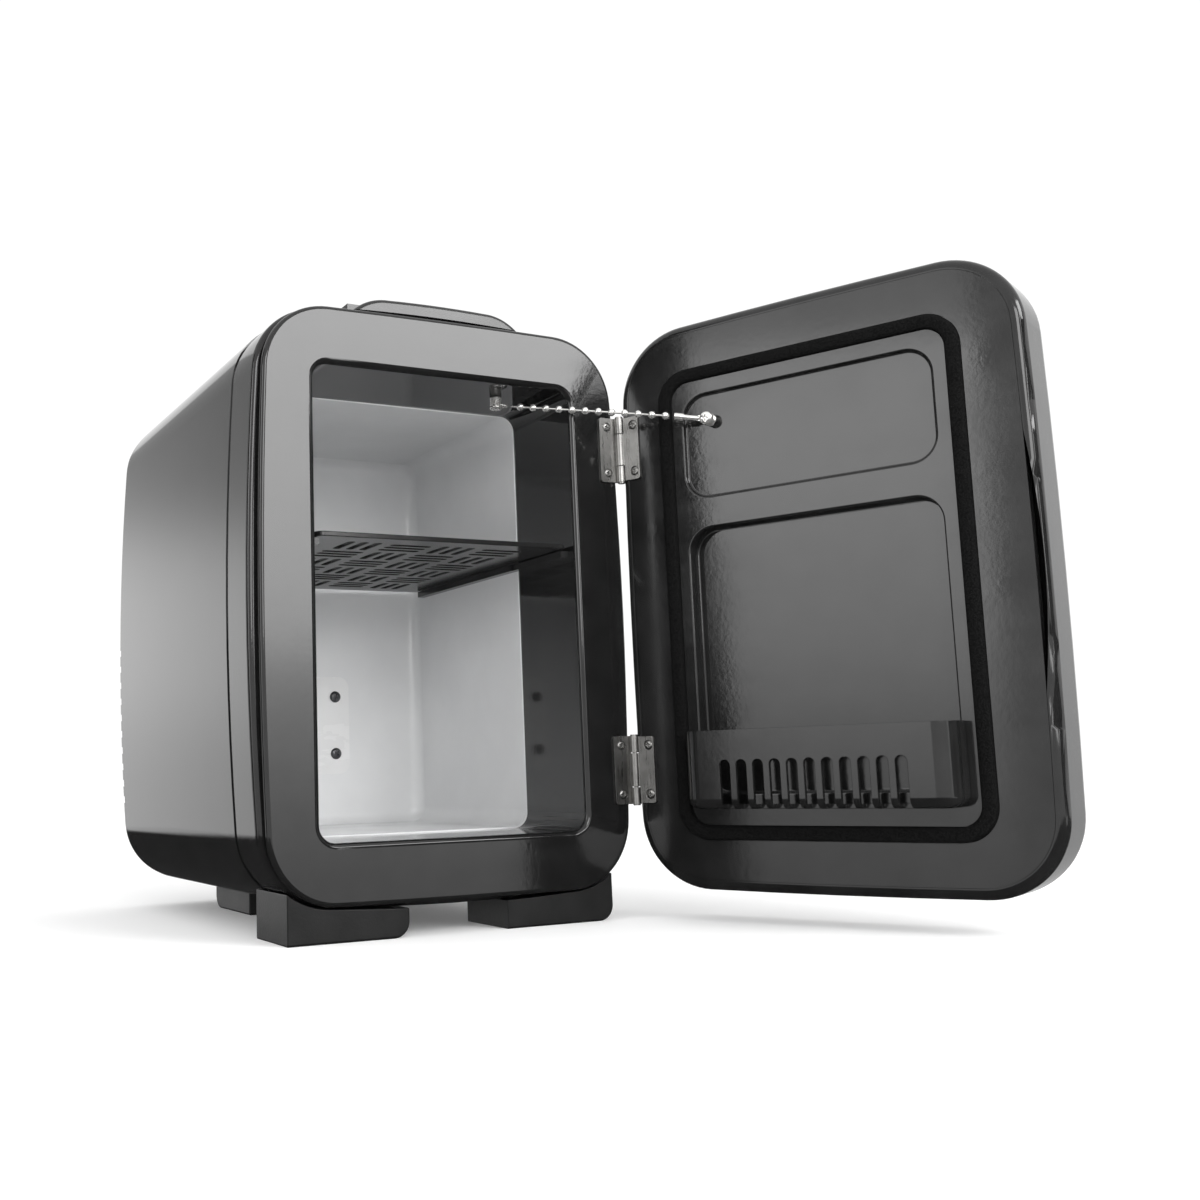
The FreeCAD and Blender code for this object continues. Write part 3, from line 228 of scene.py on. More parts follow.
nickelPlate = platedMetal("nickelPlate", (0.20, 0.197, 0.19), (0.30, 0.295, 0.285), 0.24, 0.36)
chainNickel = platedMetal("chainNickel", (0.72, 0.71, 0.69), (0.88, 0.87, 0.85), 0.10, 0.20,
                         metallic=0.82)
screwBlack = platedMetal("screwBlack", (0.08, 0.08, 0.085), (0.16, 0.16, 0.165), 0.22, 0.40)
sinkAluminium = platedMetal("sinkAluminium", (0.74, 0.75, 0.76), (0.84, 0.85, 0.86), 0.28, 0.42)
gasketFoam = beadFoam("gasketFoam", grey(0.002), grey(0.007), 1500.0, 0.00025, 0.95, 0.12)
seamFoam = beadFoam("seamFoam", grey(0.001), grey(0.004), 900.0, 0.0003, 0.95, 0.08)
pouredFoam = beadFoam("pouredFoam", (0.70, 0.67, 0.58), (0.83, 0.80, 0.72), 700.0, 0.0002)
ceramicPlate = mouldedPlastic("ceramicPlate", grey(0.78), grey(0.86), 0.5, 0.7)
boardGreen = mouldedPlastic("boardGreen", (0.015, 0.09, 0.04), (0.03, 0.14, 0.06), 0.2, 0.35, 200.0)
print("materials made")


slotOf = {}


def paintNodes(mat, slotName, *names):
    for name in names:
        slotOf[name] = slotName
        piece = nodes[name]
        piece.data.materials.clear()
        piece.data.materials.append(mat)


paintNodes(caseGloss, "case_black", "rear_shell", "rear_cover", "front_band")
paintNodes(frameGloss, "case_black", "front_frame")
paintNodes(doorGloss, "case_black", "door_shell", "door_panel")
paintNodes(binGloss, "case_black", "door_bin")
paintNodes(seamFoam, "foam_dark", "front_seam")
paintNodes(linerWhite, "liner_white", "inner_liner")
paintNodes(coldPlateWhite, "liner_white", "cold_plate")
paintNodes(pouredFoam, "insulation", "cabinet_foam", "door_foam")
paintNodes(screwBlack, "screw_dark", "rear_cover_screws", "cold_plate_screws")
paintNodes(sinkAluminium, "aluminium", "heat_sink", "cold_block")
paintNodes(ceramicPlate, "ceramic", "cooling_module")
paintNodes(boardGreen, "board_green", "control_board")
paintNodes(trimSatin, "trim_black", "fan_frame", "fan_rotor", "switch_housing", "switch_rocker",
           "mains_inlet", "low_voltage_inlet")
paintNodes(footSatin, "foot_grey", "foot_front_left", "foot_front_right", "foot_rear_left", "foot_rear_right")
paintNodes(shelfPlastic, "part_black", "shelf", "shelf_rail_left", "shelf_rail_right")
paintNodes(handlePlastic, "part_black", "carry_handle", "handle_boss_left", "handle_boss_right")
paintNodes(nickelPlate, "nickel", "hinge_cabinet_leaf_upper", "hinge_cabinet_leaf_lower",
           "hinge_door_leaf_upper", "hinge_door_leaf_lower", "hinge_pin_upper", "hinge_pin_lower",
           "hinge_cabinet_screws", "hinge_door_screws", "handle_pin_left", "handle_pin_right")
paintNodes(chainNickel, "nickel", "chain_anchor_screw", "chain_door_screw", "chain_swivel", "chain_clasp",
           "chain_link_1", "chain_link_2", "chain_link_3", "chain_link_4")
paintNodes(gasketFoam, "gasket_foam", "door_gasket")
print("CAD nodes painted")


# One node tree for each thing that repeats, with its sizes as named inputs.
def newTree(name, *inputs):
    tree = bpy.data.node_groups.new(name, "GeometryNodeTree")
    tree.interface.new_socket("Geometry", in_out="INPUT", socket_type="NodeSocketGeometry")
    tree.interface.new_socket("Geometry", in_out="OUTPUT", socket_type="NodeSocketGeometry")
    for label, kind in inputs:
        tree.interface.new_socket(label, in_out="INPUT", socket_type="NodeSocket" + kind)
    return tree, tree.nodes.new("NodeGroupInput"), tree.nodes.new("NodeGroupOutput")


def finishTree(tree, source, goesIn, goesOut):
    real = tree.nodes.new("GeometryNodeRealizeInstances")
    paint = tree.nodes.new("GeometryNodeSetMaterial")
    tree.links.new(source, real.inputs["Geometry"])
    tree.links.new(real.outputs["Geometry"], paint.inputs["Geometry"])
    tree.links.new(goesIn.outputs["Material"], paint.inputs["Material"])
    tree.links.new(paint.outputs["Geometry"], goesOut.inputs["Geometry"])


def runTree(name, tree, mesh, **values):
    # the tree's result as a plain mesh
    host = meshPiece(name, mesh)
    modifier = host.modifiers.new("Nodes", "NODES")
    modifier.node_group = tree
    for socket in tree.interface.items_tree:
        if socket.in_out == "INPUT" and socket.name in values:
            modifier[socket.identifier] = values[socket.name]
    return bake(host)


def pointMesh(name, points, joined=False):
    mesh = bpy.data.meshes.new(name)
    edges = [(i, i + 1) for i in range(len(points) - 1)] if joined else []
    mesh.from_pydata([tuple(p) for p in points], edges, [])
    return mesh


def lathe(name, outline, steps=32):
    # outline of (radius, height) turned about Z
    bm = bmesh.new()
    verts = [bm.verts.new((r, 0, z)) for r, z in outline]
    edges = [bm.edges.new(pair) for pair in zip(verts, verts[1:])]
    bmesh.ops.spin(bm, geom=verts + edges, cent=(0, 0, 0), axis=(0, 0, 1), angle=2 * math.pi,
                   steps=steps, use_merge=True)
    bmesh.ops.remove_doubles(bm, verts=bm.verts, dist=1e-6)
    return fromBmesh(name, bm)


def joinedCopy(nodeName, turn=None):
    # a merged copy of a CAD node's loose triangles
    bm = bmesh.new()
    bm.from_mesh(nodes[nodeName].data)
    bmesh.ops.remove_doubles(bm, verts=bm.verts, dist=2e-6)
    if turn is not None:
        bm.transform(turn)
    return bm


def islandBoxes(nodeName, turn=None):
    # low and high corners of each separate solid in a node
    bm = joinedCopy(nodeName, turn)
    left = set(bm.verts)
    boxes = []
    while left:
        stack = [left.pop()]
        found = []
        while stack:
            vert = stack.pop()
            found.append(vert.co.copy())
            for edge in vert.link_edges:
                other = edge.other_vert(vert)
                if other in left:
                    left.remove(other)
                    stack.append(other)
        boxes.append((Vector(min(p[i] for p in found) for i in range(3)),
                      Vector(max(p[i] for p in found) for i in range(3))))
    bm.free()
    return sorted(boxes, key=lambda pair: tuple(pair[0]))


# Screws: one turned and cross-cut head, set on every seat by a tree.
def crossHead(name, radius, high, shank, length):
    screw = lathe(name, [(0, 0), (radius * 0.45, -high * 0.03), (radius * 0.8, -high * 0.22),
                         (radius * 0.96, -high * 0.5), (radius, -high * 0.75), (radius * 0.97, -high),
                         (shank, -high), (shank, -high - length * 0.9), (shank * 0.5, -high - length),
                         (0, -high - length)])
    bm = bmesh.new()
    deep, wide, long = high * 0.62, radius * 0.26, radius * 1.12
    for turned in (False, True):
        # each arm narrows towards its floor
        corners = []
        for z, share in ((high * 0.3, 1.08), (-deep, 0.62)):
            for x, y in ((-1, -1), (1, -1), (1, 1), (-1, 1)):
                a, b = x * long * 0.5 * share, y * wide * 0.5 * share
                corners.append(bm.verts.new((b, a, z) if turned else (a, b, z)))
        for face in ((0, 1, 2, 3), (4, 7, 6, 5), (0, 4, 5, 1), (1, 5, 6, 2), (2, 6, 7, 3), (3, 7, 4, 0)):
            bm.faces.new([corners[i] for i in face])
    cutter = fromBmesh("crossCutter", bm, smooth=False)
    addModifier(screw, "BOOLEAN", operation="DIFFERENCE", object=cutter, solver="EXACT", use_self=True)
    addModifier(screw, "BEVEL", width=radius * 0.03, segments=1, limit_method="ANGLE", angle_limit=0.7)
    done = bake(screw)
    bpy.data.objects.remove(cutter)
    return done


def screwTree():
    tree, goesIn, goesOut = newTree("screwSet", ("Screw", "Object"), ("Out", "Vector"), ("Seed", "Int"),
                                    ("Material", "Material"))
    info = tree.nodes.new("GeometryNodeObjectInfo")
    info.inputs["As Instance"].default_value = True
    aim = tree.nodes.new("FunctionNodeAlignRotationToVector")
    aim.axis = "Z"
    spin = tree.nodes.new("FunctionNodeRandomValue")
    spin.data_type = "FLOAT"
    spin.inputs[3].default_value = math.pi / 2
    turn = tree.nodes.new("ShaderNodeCombineXYZ")
    local = tree.nodes.new("FunctionNodeRotateRotation")
    local.rotation_space = "LOCAL"
    place = tree.nodes.new("GeometryNodeInstanceOnPoints")
    points = tree.nodes.new("GeometryNodeMeshToPoints")
    tree.links.new(goesIn.outputs["Screw"], info.inputs["Object"])
    tree.links.new(goesIn.outputs["Out"], aim.inputs["Vector"])
    tree.links.new(goesIn.outputs["Seed"], spin.inputs["Seed"])
    tree.links.new(spin.outputs[1], turn.inputs["Z"])
    tree.links.new(aim.outputs["Rotation"], local.inputs["Rotation"])
    tree.links.new(turn.outputs["Vector"], local.inputs["Rotate By"])
    tree.links.new(goesIn.outputs["Geometry"], points.inputs["Mesh"])
    tree.links.new(points.outputs["Points"], place.inputs["Points"])
    tree.links.new(info.outputs["Geometry"], place.inputs["Instance"])
    tree.links.new(local.outputs["Rotation"], place.inputs["Rotation"])
    finishTree(tree, place.outputs["Instances"], goesIn, goesOut)
    return tree


screwSet = screwTree()
screwGroups = {
    "cabinetHingeScrews": {"node": "hinge_cabinet_screws", "out": (0, -1, 0), "radius": 0.0021,
                           "high": 0.0007, "shank": 0.00105, "body": "cabinet", "seed": 3,
                           "mat": nickelPlate, "slot": "nickel"},
    "doorHingeScrews": {"node": "hinge_door_screws", "out": (0, 1, 0), "radius": 0.0021,
                        "high": 0.0007, "shank": 0.00105, "body": "door", "seed": 8,
                        "mat": nickelPlate, "slot": "nickel"},
    "coldPlateScrews": {"node": "cold_plate_screws", "out": (0, -1, 0), "radius": 0.0031,
                        "high": 0.0017, "shank": 0.0016, "body": "cabinet", "seed": 5,
                        "mat": screwBlack, "slot": "screw_dark"},
    "rearCoverScrews": {"node": "rear_cover_screws", "out": (0, 1, 0), "radius": 0.0030,
                        "high": 0.0016, "shank": 0.0015, "body": "cabinet", "seed": 2,
                        "mat": screwBlack, "slot": "screw_dark"},
}


def makeScrewGroup(name, spec):
    onDoor = spec["body"] == "door"
    out = Vector(spec["out"])
    boxes = islandBoxes(spec["node"], doorTurn.inverted() if onDoor else None)
    seats = []
    for low, high in boxes:
        seat = (low + high) / 2
        seat.y = high.y if out.y > 0 else low.y
        seats.append(doorTurn @ seat if onDoor else seat)
    length = abs(boxes[0][1].y - boxes[0][0].y) - spec["high"]
    head = crossHead(name + "Head", spec["radius"], spec["high"], spec["shank"], length)
    if onDoor:
        out = doorTurn.to_3x3() @ out
    values = {"Screw": head, "Out": tuple(out), "Seed": spec["seed"], "Material": spec["mat"]}
    screws = runTree(name, screwSet, pointMesh(name, seats), **values)
    bpy.data.objects.remove(head)
    dress(screws, spec["body"], spec["mat"], spec["slot"], spec["node"])


for groupName, spec in screwGroups.items():
    makeScrewGroup(groupName, spec)
print("screws set")


# Ball chain: hollow balls threaded on short wires, three to each moving run.
chainSizes = {
    "ballRadius": 0.00175,
    "wireRadius": 0.00048,
    "ballsPerRun": 3,
    "runs": 4,
    "poleHole": 0.42,        # the rolled hole's radius against the ball's
    "wireInBall": 0.9,       # how far a run's wire reaches into the ball before it
}
jointAt = {j["name"]: Vector(j["pos_m"]) for j in frame["joints"] if "pos_m" in j}
chainAlong = (jointAt["chain_clasp_turn"] - jointAt["chain_swivel_turn"]).normalized()
ballPitch = (jointAt["chain_bend_3"] - jointAt["chain_bend_2"]).length / chainSizes["ballsPerRun"]
firstBall = jointAt["chain_bend_2"] - chainAlong * ballPitch * (chainSizes["ballsPerRun"] - 1)


def chainBall():
    # a ball pressed round its wire, with a small rolled hole at each pole
    radius = chainSizes["ballRadius"]
    hole = chainSizes["poleHole"] * radius
    poleHeight = math.sqrt(radius ** 2 - hole ** 2)
    low = math.asin(hole / radius)
    outline = [(0, -poleHeight + 0.18 * radius), (0.7 * hole, -poleHeight + 0.14 * radius),
               (0.9 * hole, -poleHeight)]
    steps = 14
    for i in range(steps + 1):
        angle = low + (math.pi - 2 * low) * i / steps
        outline.append((radius * math.sin(angle), -radius * math.cos(angle)))
    outline += [(r, -z) for r, z in reversed(outline[:3])]
    return lathe("chainBall", outline, 24)


def chainTree():
    tree, goesIn, goesOut = newTree("ballChain", ("Ball", "Object"), ("Wire Radius", "Float"),
                                    ("Along", "Vector"), ("Material", "Material"))
    info = tree.nodes.new("GeometryNodeObjectInfo")
    info.inputs["As Instance"].default_value = True
    aim = tree.nodes.new("FunctionNodeAlignRotationToVector")
    aim.axis = "Z"
    place = tree.nodes.new("GeometryNodeInstanceOnPoints")
    points = tree.nodes.new("GeometryNodeMeshToPoints")
    notEnd = tree.nodes.new("GeometryNodeInputNamedAttribute")
    notEnd.data_type = "BOOLEAN"
    notEnd.inputs["Name"].default_value = "hasBall"
    wire = tree.nodes.new("GeometryNodeMeshToCurve")
    ring = tree.nodes.new("GeometryNodeCurvePrimitiveCircle")
    ring.inputs["Resolution"].default_value = 12
    sweep = tree.nodes.new("GeometryNodeCurveToMesh")
    sweep.inputs["Fill Caps"].default_value = True
    both = tree.nodes.new("GeometryNodeJoinGeometry")
    tree.links.new(goesIn.outputs["Ball"], info.inputs["Object"])
    tree.links.new(goesIn.outputs["Along"], aim.inputs["Vector"])
    tree.links.new(goesIn.outputs["Geometry"], points.inputs["Mesh"])
    tree.links.new(notEnd.outputs["Attribute"], points.inputs["Selection"])
    tree.links.new(points.outputs["Points"], place.inputs["Points"])
    tree.links.new(info.outputs["Geometry"], place.inputs["Instance"])
    tree.links.new(aim.outputs["Rotation"], place.inputs["Rotation"])
    tree.links.new(goesIn.outputs["Geometry"], wire.inputs["Mesh"])
    tree.links.new(goesIn.outputs["Wire Radius"], ring.inputs["Radius"])
    tree.links.new(wire.outputs["Curve"], sweep.inputs["Curve"])
    tree.links.new(ring.outputs["Curve"], sweep.inputs["Profile Curve"])
    tree.links.new(place.outputs["Instances"], both.inputs["Geometry"])
    tree.links.new(sweep.outputs["Mesh"], both.inputs["Geometry"])
    finishTree(tree, both.outputs["Geometry"], goesIn, goesOut)
    return tree


def makeChainRuns():
    ball = chainBall()
    tree = chainTree()
    for run in range(chainSizes["runs"]):
        first = firstBall + chainAlong * ballPitch * chainSizes["ballsPerRun"] * run
        backSpan = ballPitch - chainSizes["ballRadius"] * chainSizes["wireInBall"]
        points = [first - chainAlong * backSpan]
        points += [first + chainAlong * ballPitch * i for i in range(chainSizes["ballsPerRun"])]
        mesh = pointMesh("chainRun", points, joined=True)
        flags = mesh.attributes.new("hasBall", "BOOLEAN", "POINT")
        for i in range(len(points)):
            flags.data[i].value = i > 0
        name = "chainRun" + str(run + 1)
        values = {"Ball": ball, "Wire Radius": chainSizes["wireRadius"], "Along": tuple(chainAlong),
                  "Material": chainNickel}
        piece = runTree(name, tree, mesh, **values)
        body = "chain_link_" + str(run + 1)
        dress(piece, body, chainNickel, "nickel", body)
    bpy.data.objects.remove(ball)


makeChainRuns()
print("ball chain threaded")


# Screws that hold the chain's two ends, each with a stack of rings under its eye.
stackSizes = {
    "headRadius": 0.0031,
    "shank": 0.00118,
    "eyeRoom": 0.0006,     # from the eye's middle to what it turns between
    "ringRadius": 0.0029,
    "rings": 3,
    "drop": 0.0040,        # from the eye's middle to the face below
    "ceilingHead": 0.0018,
    "doorHead": 0.0016,
    "ringOutline": ((0.02, 0.62), (0.14, 0.92), (0.36, 1.0), (0.60, 1.0), (0.82, 0.92), (0.96, 0.62)),
}
loopSizes = {
    "wire": 0.00042,
    "halfWide": 0.0023,
    "behind": 0.0026,      # how far the loop passes behind its screw
    "slack": 1.03,
    "points": 16,
}


def screwStack(name, nodeName, body, at, out, headHigh):
    spec = stackSizes
    drop = spec["drop"]
    head = crossHead(name + "Head", spec["headRadius"], headHigh, spec["shank"], drop + spec["eyeRoom"])
    head.data.transform(Matrix.Translation((0, 0, headHigh + spec["eyeRoom"])))
    outline = [(spec["shank"], -spec["eyeRoom"])]
    step = (drop - spec["eyeRoom"]) / spec["rings"]
    for i in range(spec["rings"]):
        top = -spec["eyeRoom"] - i * step
        for share, radius in spec["ringOutline"]:
            outline.append((spec["ringRadius"] * radius, top - share * step))
    outline += [(spec["ringRadius"] * spec["ringOutline"][-1][1], -drop), (0, -drop)]
    rings = lathe(name + "Rings", outline)
    bm = bmesh.new()
    bm.from_mesh(head.data)
    bm.from_mesh(rings.data)
    bpy.data.objects.remove(head)
    bpy.data.objects.remove(rings)
    turn = Vector(out).to_track_quat("Z", "Y").to_matrix().to_4x4()
    bm.transform(Matrix.Translation(at) @ turn)
    dress(fromBmesh(name, bm), body, chainNickel, "nickel", nodeName)


def makeChainEnds():
    anchorAt, claspAt = jointAt["chain_swivel_turn"], jointAt["chain_clasp_turn"]
    screwStack("ceilingScrewStack", "chain_anchor_screw", "cabinet", anchorAt, (0, 0, -1),
               stackSizes["ceilingHead"])
    screwStack("doorScrewStack", "chain_door_screw", "door", claspAt, doorTurn.to_3x3() @ Vector((0, 1, 0)),
               stackSizes["doorHead"])
    # wire loop from the ceiling screw to the first pivot
    pivot = jointAt["chain_bend_1"]
    reach = (pivot - anchorAt).length
    middle = anchorAt + chainAlong * (reach - loopSizes["behind"]) / 2
    halfLong = (reach + loopSizes["behind"]) / 2 * loopSizes["slack"]
    across = chainAlong.cross(Vector((0, 0, 1))).normalized()
    curve = bpy.data.curves.new("wireLoop", "CURVE")
    curve.dimensions = "3D"
    curve.bevel_depth = loopSizes["wire"]
    curve.bevel_resolution = 3
    curve.resolution_u = 4
    spline = curve.splines.new("NURBS")
    spline.points.add(loopSizes["points"] - 1)
    for i in range(loopSizes["points"]):
        angle = 2 * math.pi * i / loopSizes["points"]
        point = (middle + chainAlong * math.cos(angle) * halfLong
                 + across * math.sin(angle) * loopSizes["halfWide"])
        spline.points[i].co = (*point, 1)
    spline.order_u = 4
    spline.use_cyclic_u = True
    loop = bpy.data.objects.new("wireLoop", curve)
    bpy.context.scene.collection.objects.link(loop)
    dress(bake(loop), "chain_swivel", chainNickel, "nickel", "chain_swivel")


makeChainEnds()
print("chain ends fixed")


# Foam bead squeezed out between the bezel and the band, uneven all the way round.
seamSizes = {
    "rays": 240,
    "thick": 0.0011,
    "uneven": 0.0011,
    "outward": 0.0006,
    "lumpScale": 170.0,
    "castFrom": 0.4,      # rays start this far out, well clear of the case
    "seed": 4.0,
}


def beadTree():
    tree, goesIn, goesOut = newTree("foamBead", ("Thick", "Float"), ("Uneven", "Float"), ("Seed", "Float"),
                                    ("Material", "Material"))
    wire = tree.nodes.new("GeometryNodeMeshToCurve")
    smooth = tree.nodes.new("GeometryNodeSubdivideCurve")
    smooth.inputs["Cuts"].default_value = 3
    lumps = tree.nodes.new("ShaderNodeTexNoise")
    lumps.noise_dimensions = "4D"
    lumps.inputs["Scale"].default_value = seamSizes["lumpScale"]
    lumps.inputs["Detail"].default_value = 5.0
    away = tree.nodes.new("ShaderNodeMath")
    away.operation = "MULTIPLY_ADD"
    radius = tree.nodes.new("GeometryNodeSetCurveRadius")
    ring = tree.nodes.new("GeometryNodeCurvePrimitiveCircle")
    ring.inputs["Resolution"].default_value = 10
    ring.inputs["Radius"].default_value = 1.0
    sweep = tree.nodes.new("GeometryNodeCurveToMesh")
    smoothed = tree.nodes.new("GeometryNodeSetShadeSmooth")
    tree.links.new(goesIn.outputs["Geometry"], wire.inputs["Mesh"])
    tree.links.new(wire.outputs["Curve"], smooth.inputs["Curve"])
    tree.links.new(goesIn.outputs["Seed"], lumps.inputs["W"])
    tree.links.new(lumps.outputs["Fac"], away.inputs[0])
    tree.links.new(goesIn.outputs["Uneven"], away.inputs[1])
    tree.links.new(goesIn.outputs["Thick"], away.inputs[2])
    tree.links.new(smooth.outputs["Curve"], radius.inputs["Curve"])
    tree.links.new(away.outputs["Value"], radius.inputs["Radius"])
    tree.links.new(radius.outputs["Curve"], sweep.inputs["Curve"])
    reading = tree.nodes.new("GeometryNodeInputRadius")
    tree.links.new(reading.outputs["Radius"], sweep.inputs["Scale"])
    tree.links.new(ring.outputs["Curve"], sweep.inputs["Profile Curve"])
    tree.links.new(sweep.outputs["Mesh"], smoothed.inputs["Geometry"])
    finishTree(tree, smoothed.outputs["Geometry"], goesIn, goesOut)
    return tree


def makeSeamBead():
    low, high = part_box("front_seam")
    middle = (low + high) / 2
    bm = joinedCopy("front_seam")
    hull = BVHTree.FromBMesh(bm)
    points = []
    for i in range(seamSizes["rays"]):
        angle = 2 * math.pi * i / seamSizes["rays"]
        out = Vector((math.cos(angle), 0, math.sin(angle)))
        hit, _, _, _ = hull.ray_cast(middle + out * seamSizes["castFrom"], -out)
        points.append(hit + out * (seamSizes["outward"] - seamSizes["thick"]))
    bm.free()
    mesh = bpy.data.meshes.new("seamBead")
    edges = [(i, (i + 1) % len(points)) for i in range(len(points))]
    mesh.from_pydata([tuple(p) for p in points], edges, [])
    values = {"Thick": seamSizes["thick"] - seamSizes["uneven"] * 0.5, "Uneven": seamSizes["uneven"],
              "Seed": seamSizes["seed"], "Material": seamFoam}
    bead = runTree("seamBead", beadTree(), mesh, **values)
    dress(bead, "cabinet", seamFoam, "foam_dark")


makeSeamBead()
print("seam bead run")


# Door gasket: a soft strip in the panel's channel, crowned and a little uneven.
gasketSizes = {
    "width": 0.0062,
    "corner": 0.0148,
    "perSide": 60,
    "perCorner": 14,
    "section": 10,
    "uneven": 0.00022,
    "foot": 0.30,          # share of the depth below the crown
    "crown": 0.66,
    "flat": 0.45,          # smaller is a flatter crown
    "square": 0.6,         # smaller is a squarer crown
}


def roundedPath(low, high, inset, corner, perSide, perCorner):
    # points round a rectangle in X and Z, with the outward direction at each
    x0, x1, z0, z1 = low.x + inset, high.x - inset, low.z + inset, high.z - inset
    centres = [(x1 - corner, z1 - corner, 0), (x0 + corner, z1 - corner, 90),
               (x0 + corner, z0 + corner, 180), (x1 - corner, z0 + corner, 270)]
    path = []
    for i, (cx, cz, start) in enumerate(centres):
        for k in range(perCorner):
            angle = math.radians(start + 90.0 * k / perCorner)
            out = Vector((math.cos(angle), 0, math.sin(angle)))
            path.append((Vector((cx, 0, cz)) + out * corner, out))
        angle = math.radians(start + 90)
        out = Vector((math.cos(angle), 0, math.sin(angle)))
        nx, nz, _ = centres[(i + 1) % 4]
        a = Vector((cx, 0, cz)) + out * corner
        b = Vector((nx, 0, nz)) + out * corner
        path += [(a.lerp(b, k / perSide), out) for k in range(perSide)]
    return path


def makeGasket():
    low, high = shutBox("door_gasket")
    half = gasketSizes["width"] / 2
    deep = high.y - low.y
    path = roundedPath(low, high, half, gasketSizes["corner"] - half, gasketSizes["perSide"],
                       gasketSizes["perCorner"])
    bm = bmesh.new()
    rings = []
    count = gasketSizes["section"]
    for centre, out in path:
        loop = []
        for k in range(count + 1):
            # the crown follows a flattened arch; the two feet stand in the channel
            angle = math.pi * k / count
            across = -math.cos(angle)
            across = math.copysign(abs(across) ** gasketSizes["square"], across)
            rise = math.sin(angle) ** gasketSizes["flat"] if 0 < k < count else 0.0
            point = centre + out * (half * across)
            point.y = low.y + deep * (gasketSizes["foot"] + gasketSizes["crown"] * rise)
            lump = noise.noise(point * 900.0) * 0.5 + noise.noise(point * 260.0) * 0.5
            point += out * (lump * gasketSizes["uneven"] * 0.6)
            point.y -= abs(lump) * gasketSizes["uneven"]
            loop.append(bm.verts.new(point))
        for side in (1, -1):
            point = centre + out * (half * side)
            point.y = low.y
            loop.append(bm.verts.new(point))
        rings.append(loop)
    size = len(rings[0])
    for a, b in zip(rings, rings[1:] + rings[:1]):
        for k in range(size):
            bm.faces.new((a[k], a[(k + 1) % size], b[(k + 1) % size], b[k]))
    bm.transform(doorTurn)
    piece = fromBmesh("gasketStrip", bm)
    dress(piece, "door", gasketFoam, "gasket_foam", "door_gasket")


makeGasket()
print("gasket laid")


# Shelf: basket-weave cells set by a tree inside a rounded border.
shelfSizes = {
    "cell": 0.0234,
    "rib": 0.0034,
    "slot": 0.0034,
    "pitch": 0.0065,
    "border": 0.0045,
    "corner": 0.004,
    "edge": 0.00035,
    "perCorner": 8,
}


def flatBar(bm, low, high):
    corners = [bm.verts.new((x, y, z)) for z in (low.z, high.z)
               for x, y in ((low.x, low.y), (high.x, low.y), (high.x, high.y), (low.x, high.y))]
    for face in ((3, 2, 1, 0), (4, 5, 6, 7), (0, 1, 5, 4), (1, 2, 6, 5), (2, 3, 7, 6), (3, 0, 4, 7)):
        bm.faces.new([corners[i] for i in face])


def stadium(bm, x, halfLong, halfWide, z0, z1, steps=8):
    # slot cutter with round ends, long along Y
    ring = []
    for sign in (1, -1):
        for k in range(steps + 1):
            angle = math.pi * k / steps
            ring.append((x + sign * halfWide * math.cos(angle),
                         sign * (halfLong - halfWide + halfWide * math.sin(angle))))
    lower = [bm.verts.new((px, py, z0)) for px, py in ring]
    upper = [bm.verts.new((px, py, z1)) for px, py in ring]
    bm.faces.new(list(reversed(lower)))
    bm.faces.new(upper)
    for k in range(len(ring)):
        n = (k + 1) % len(ring)
        bm.faces.new((lower[k], lower[n], upper[n], upper[k]))


def weaveCell(thick):
    cell, rib = shelfSizes["cell"], shelfSizes["rib"]
    bm = bmesh.new()
    flatBar(bm, Vector((-cell / 2, -cell / 2, 0)), Vector((cell / 2, cell / 2, thick)))
    plate = fromBmesh("weaveCell", bm, smooth=False)
    bm = bmesh.new()
    for k in (-1, 0, 1):
        stadium(bm, k * shelfSizes["pitch"], (cell - rib) / 2, shelfSizes["slot"] / 2, -0.001, thick + 0.001)
    cutter = fromBmesh("weaveCutter", bm, smooth=False)
    addModifier(plate, "BOOLEAN", operation="DIFFERENCE", object=cutter, solver="EXACT")
    done = bake(plate)
    bpy.data.objects.remove(cutter)
    # rounds on the slot rims only, and no walls left between neighbouring cells
    bm = bmesh.new()
    bm.from_mesh(done.data)
    outside = [f for f in bm.faces if abs(f.normal.z) < 0.1
               and (abs(abs(f.calc_center_median().x) - cell / 2) < 1e-5
                    or abs(abs(f.calc_center_median().y) - cell / 2) < 1e-5)]
    bmesh.ops.delete(bm, geom=outside, context="FACES_ONLY")
    rims = [e for e in bm.edges if len(e.link_faces) == 2 and e.calc_face_angle(0) > 0.8
            and abs(e.link_faces[0].normal.z - e.link_faces[1].normal.z) > 0.8]
    bmesh.ops.bevel(bm, geom=rims, offset=shelfSizes["edge"], segments=2, affect="EDGES", profile=0.5)
    bm.to_mesh(done.data)
    bm.free()
    return done


